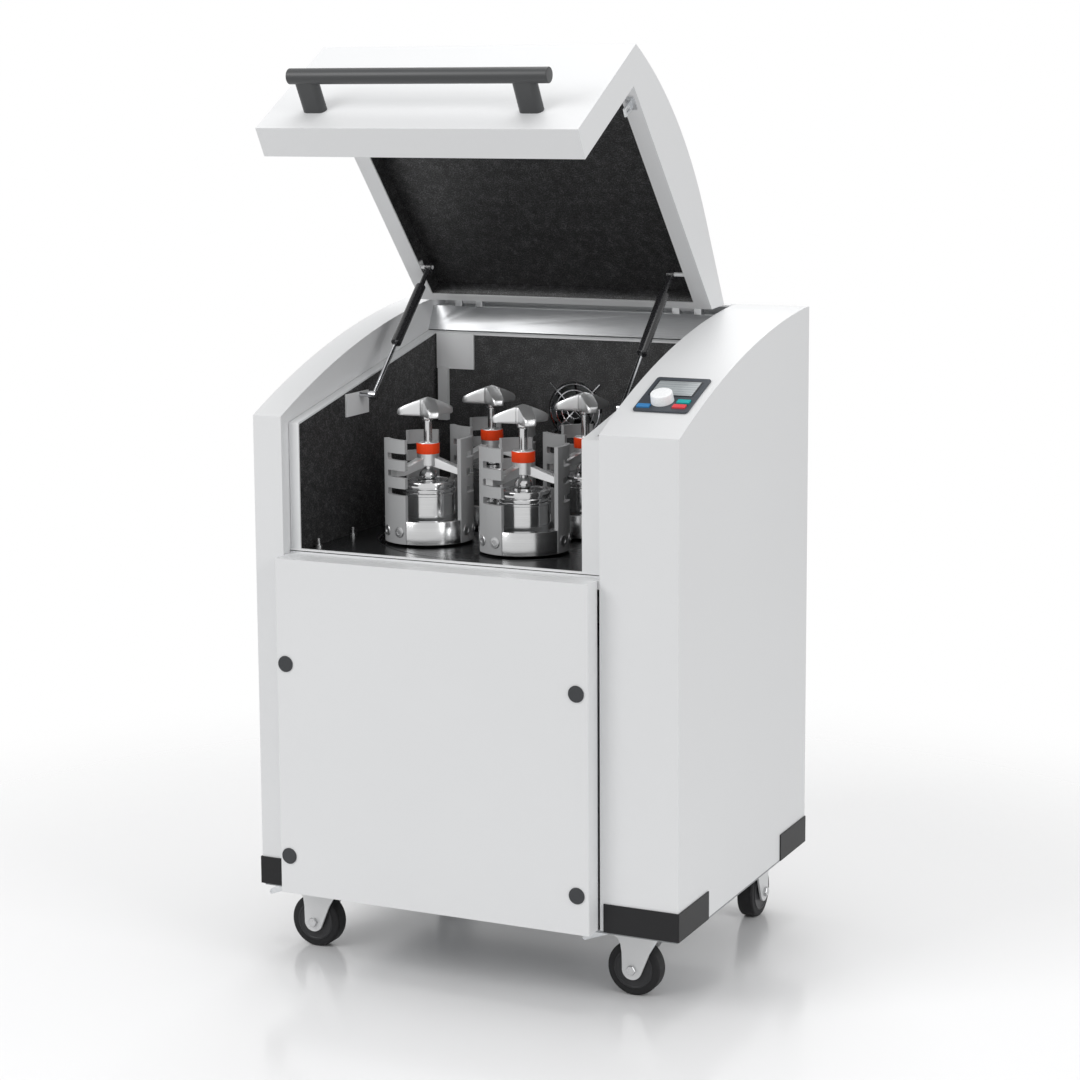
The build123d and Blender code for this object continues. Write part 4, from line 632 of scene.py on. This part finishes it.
bezel_plastic = moulded("bezel_plastic", (0.055, 0.062, 0.072), 0.4)
dressed("control_bezel", bezel_plastic, edge=0.8 * MM)
panel_up = np.array(joints["knob_turn"]["axis"])
panel_up /= np.linalg.norm(panel_up)
panel_across = np.array([1.0, 0.0, 0.0])
panel_along = np.cross(panel_up, panel_across)
PANEL_AXES = (panel_across, panel_along, panel_up)
display_rim = moulded("display_rim", (0.02, 0.022, 0.026), 0.3)
PALE_ROW, DARK_ROW = (0.42, 0.45, 0.46), (0.30, 0.325, 0.335)
display_glass = Finish("display_glass", PALE_ROW, 0.18, Coat_Weight=0.4)
rows = (display_glass.split()["Z"] * 2100.0).sine()
lines = display_glass.noise(260.0, 1.0) * 0.3 + rows * 0.5
display_glass.set("Base Color", display_glass.mix(lines > 0.55, PALE_ROW, DARK_ROW))
DISPLAY_ACROSS, DISPLAY_ALONG = 6 * MM, 49.5 * MM  # from the knob's pivot
display_at = np.array(joints["knob_turn"]["pos_m"])
display_at = display_at + DISPLAY_ACROSS * panel_across + DISPLAY_ALONG * panel_along
slab(
    "display_rim", display_at + 0.1 * MM * panel_up, np.array([84, 58, 1.0]) * MM, 3 * MM,
    PANEL_AXES, display_rim, "cabinet", edge=0.2 * MM,
)
slab(
    "display", display_at + 0.5 * MM * panel_up, np.array([78, 52, 0.8]) * MM, 1.5 * MM,
    PANEL_AXES, display_glass, "cabinet", edge=0.2 * MM,
)
knob_plastic = moulded("knob_plastic", (0.80, 0.81, 0.82), 0.28, grain=300.0, depth=0.01 * MM)
dressed("control_knob", knob_plastic)
KEY_COLOURS = {
    "blue": (0.045, 0.19, 0.42),
    "green": (0.02, 0.33, 0.33),
    "red": (0.62, 0.06, 0.07),
}
for key, colour in KEY_COLOURS.items():
    dressed("key_" + key, moulded("key_plastic_" + key, colour, 0.4), edge=0.8 * MM)


# ------------------------------------------------------------------ main switch
# Glossy black moulded rocker, snapped into the rear cover beside the mains inlet. It tips on
# a cross pin.

switch_plastic = moulded("switch_plastic", (0.02, 0.02, 0.021), 0.25)
dressed("main_switch", switch_plastic, edge=0.6 * MM)


# ------------------------------------------------------------------ casters
# Swivel casters, bolted under the cabinet's pan: pressed fork cheeks, black tyres on dark
# hubs, and axles held by hexagon nuts. The two at the front have foot brakes.


def cut_plate(name, outline, thickness, corner, axes, finish, body):
    """Flat plate: an outline of (along, up) from a corner, drawn out along the third axis."""
    axes = np.asarray(axes, float)
    flat = np.asarray(corner, float) + np.asarray(outline, float) @ axes[:2]
    points = np.vstack([flat, flat + thickness * axes[2]])
    count = len(outline)
    step = np.arange(count)
    following = (step + 1) % count
    faces = [step[::-1].tolist(), (count + step).tolist()]
    faces += np.stack([step, following, count + following, count + step], -1).tolist()
    piece = linked(name, closed_mesh(name, points, faces))
    bevel = piece.modifiers.new("edge", "BEVEL")
    bevel.width = 0.5 * MM
    bevel.segments = 2
    return finish_piece(piece, finish, body)


# The fork's cheek: a wide flange under the plate that sweeps down to a round end on the axle.
AXLE_Z, TRAIL, END_RADIUS = 50.0, 38.0, 19.0
end_turn = np.radians(np.linspace(8, -160, 15))
CHEEK = np.array(
    [(-15, 130), (99, 126), (102, 121), (100, 114), (78, 112), (67, 107), (60, 96), (57.5, 80)]
    + [(TRAIL + END_RADIUS * math.cos(a), AXLE_Z + END_RADIUS * math.sin(a)) for a in end_turn]
) * MM
CHEEK_THICKNESS, CHEEK_GAP, NUT_GAP = 4.5 * MM, 3.8 * MM, 8.4 * MM  # gaps from the wheel's side
NUT = np.array([(0, -1), (9.5, -1), (9.5, 5), (8.5, 6), (0, 6)]) * MM
WHEEL_RING = np.array(
    [(34, -0.4), (37, -0.4), (37, 0.6), (36, 1.4), (34, 1.4), (33, 0.5), (32, 0.3), (14, 0.3)]
) * MM
fork_zinc = coated("fork_zinc", (0.72, 0.725, 0.73), 0.35, 500.0)
fork_zinc.set("Metallic", 0.25)
tyre_rubber = moulded("tyre_rubber", (0.018, 0.018, 0.019), 0.55, grain=400.0)
hub_grey = moulded("wheel_hub", (0.035, 0.035, 0.037), 0.35)
for corner in ("front_left", "front_right", "rear_left", "rear_right"):
    dressed("caster_fork_" + corner, zinc, edge=0.6 * MM)
    dressed("caster_wheel_" + corner, tyre_rubber)
    if corner.startswith("front"):
        dressed("brake_pedal_" + corner, zinc, edge=0.6 * MM)
    axle = joints["wheel_roll_" + corner]
    hub = np.array(axle["pos_m"])
    spin = np.abs(np.array(axle["axis"])) / np.linalg.norm(axle["axis"])
    wheel_low, wheel_high = (np.array(point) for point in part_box("caster_wheel_" + corner))
    half = float(np.dot(wheel_high - wheel_low, spin)) / 2
    swivel = np.array(joints["swivel_" + corner]["pos_m"]) * (1, 1, 0)
    trail = hub * (1, 1, 0) - swivel
    trail /= np.linalg.norm(trail)
    for side, way in (("near", -1.0), ("far", 1.0)):
        outward = way * spin
        cut_plate(
            f"fork_cheek_{corner}_{side}", CHEEK, CHEEK_THICKNESS,
            swivel + (half + CHEEK_GAP) * outward, (trail, UP, outward), fork_zinc,
            "caster_" + corner,
        )
        turned_piece(
            f"axle_nut_{corner}_{side}", NUT, hub + (half + NUT_GAP) * outward, outward,
            zinc_head, "caster_" + corner, around=6,
        )
        turned_piece(
            f"wheel_ring_{corner}_{side}", WHEEL_RING, hub + half * outward, outward,
            hub_grey, "wheel_" + corner,
        )


# ------------------------------------------------------------------ floor, light and camera
# A pale, slightly glossy floor that fades into a white surround, four soft lamps, and the
# camera at the photograph's place.


def lamp(name, place, target, size, power):
    """Soft square lamp of a size in metres, turned towards a target."""
    light = bpy.data.lights.new(name, "AREA")
    light.shape = "SQUARE"
    light.size = size
    light.energy = power
    thing = linked(name, light)
    thing.location = place
    thing.rotation_euler = (Vector(target) - Vector(place)).to_track_quat("-Z", "Y").to_euler()


lamp("lamp_front", (-2.2, -3.6, 3.4), (0, 0, 0.9), 2.4, 84)
lamp("lamp_right", (4.2, -1.6, 2.6), (0, 0, 0.8), 2.2, 52)
lamp("lamp_top", (0.3, 0.2, 4.6), (0, 0, 0.8), 2.6, 50)
lamp("lamp_back", (-1.5, 4.3, 4.4), (0, 0, 1.0), 2.4, 50)

AMBIENT = 0.55  # the surround's light on the object
MIRRORED = 0.8  # the surround as metal and glass show it
world = bpy.data.worlds.new("surround")
bpy.context.scene.world = world
world.use_nodes = True
surround = world.node_tree
background = surround.nodes["Background"]
rays = surround.nodes.new("ShaderNodeLightPath").outputs


def world_maths(how, first, second):
    """Math node in the world's tree, of two numbers or sockets."""
    made = surround.nodes.new("ShaderNodeMath")
    made.operation = how
    for socket, entry in zip(made.inputs, (first, second)):
        if isinstance(entry, (int, float)):
            socket.default_value = entry
        else:
            surround.links.new(entry, socket)
    return made.outputs[0]


glossy = world_maths("MAXIMUM", rays["Is Glossy Ray"], rays["Is Transmission Ray"])
seen = world_maths("MAXIMUM", rays["Is Camera Ray"], world_maths("MULTIPLY", glossy, MIRRORED))
surround.links.new(world_maths("MAXIMUM", seen, AMBIENT), background.inputs["Strength"])
background.inputs["Color"].default_value = (1, 1, 1, 1)

FLOOR_REACH, FLOOR_LEVEL = 14.0, -0.5 * MM
FADE_FROM, FADE_TO = 1.0, 2.1
corner_x, corner_y = np.array([(-1, 1, 1, -1), (-1, -1, 1, 1)]) * FLOOR_REACH
floor_corners = np.stack([corner_x, corner_y, np.full(4, FLOOR_LEVEL)], -1)
floor_mesh = bpy.data.meshes.new("floor")
floor_mesh.from_pydata(floor_corners.tolist(), [], [[0, 1, 2, 3]])
floor = linked("floor", floor_mesh)
floor_finish = Finish("floor_pale", (0.93, 0.93, 0.935), 0.16, Specular_IOR_Level=0.5)
fade = floor_finish.node(
    "ShaderNodeMapRange",
    {"interpolation_type": "SMOOTHSTEP"},
    {"Value": reach(floor_finish.split()), "From Min": FADE_FROM, "From Max": FADE_TO},
)["Result"]
pale = Value(floor_finish, floor_finish.shader.outputs["BSDF"])
clear = floor_finish.node("ShaderNodeBsdfTransparent")["BSDF"]
faded = floor_finish.node("ShaderNodeMixShader", {}, {0: fade, 1: pale, 2: clear})["Shader"]
floor_finish.feed(floor_finish.tree.nodes["Material Output"].inputs["Surface"], faded)
floor_mesh.materials.append(floor_finish.material)

CAMERA_PLACE = np.array([2.0560, -4.3063, 1.6391])
YAW, PITCH, ROLL = math.radians(25.059), math.radians(-8.469), math.radians(-0.335)
FOCAL_PIXELS, SHIFT_PIXELS, PHOTO_PIXELS = 2587.3, -80.0, 1080.0
SENSOR = 36.0
camera_data = bpy.data.cameras.new("camera")
camera = linked("camera", camera_data)
ahead = np.array(
    [-math.sin(YAW) * math.cos(PITCH), math.cos(YAW) * math.cos(PITCH), math.sin(PITCH)]
)
level = np.array([math.cos(YAW), math.sin(YAW), 0.0])
above = np.cross(level, ahead)
right = level * math.cos(ROLL) + above * math.sin(ROLL)
above = above * math.cos(ROLL) - level * math.sin(ROLL)
turned = np.stack([right, above, -ahead], -1)
camera.matrix_world = Matrix(
    [[*row, place] for row, place in zip(turned.tolist(), CAMERA_PLACE)] + [[0, 0, 0, 1]]
)
camera_data.sensor_width = SENSOR
camera_data.lens = FOCAL_PIXELS / PHOTO_PIXELS * SENSOR
camera_data.shift_y = SHIFT_PIXELS / PHOTO_PIXELS
camera_data.clip_end = 100.0
bpy.context.scene.camera = camera
bpy.context.scene.view_settings.view_transform = "Standard"
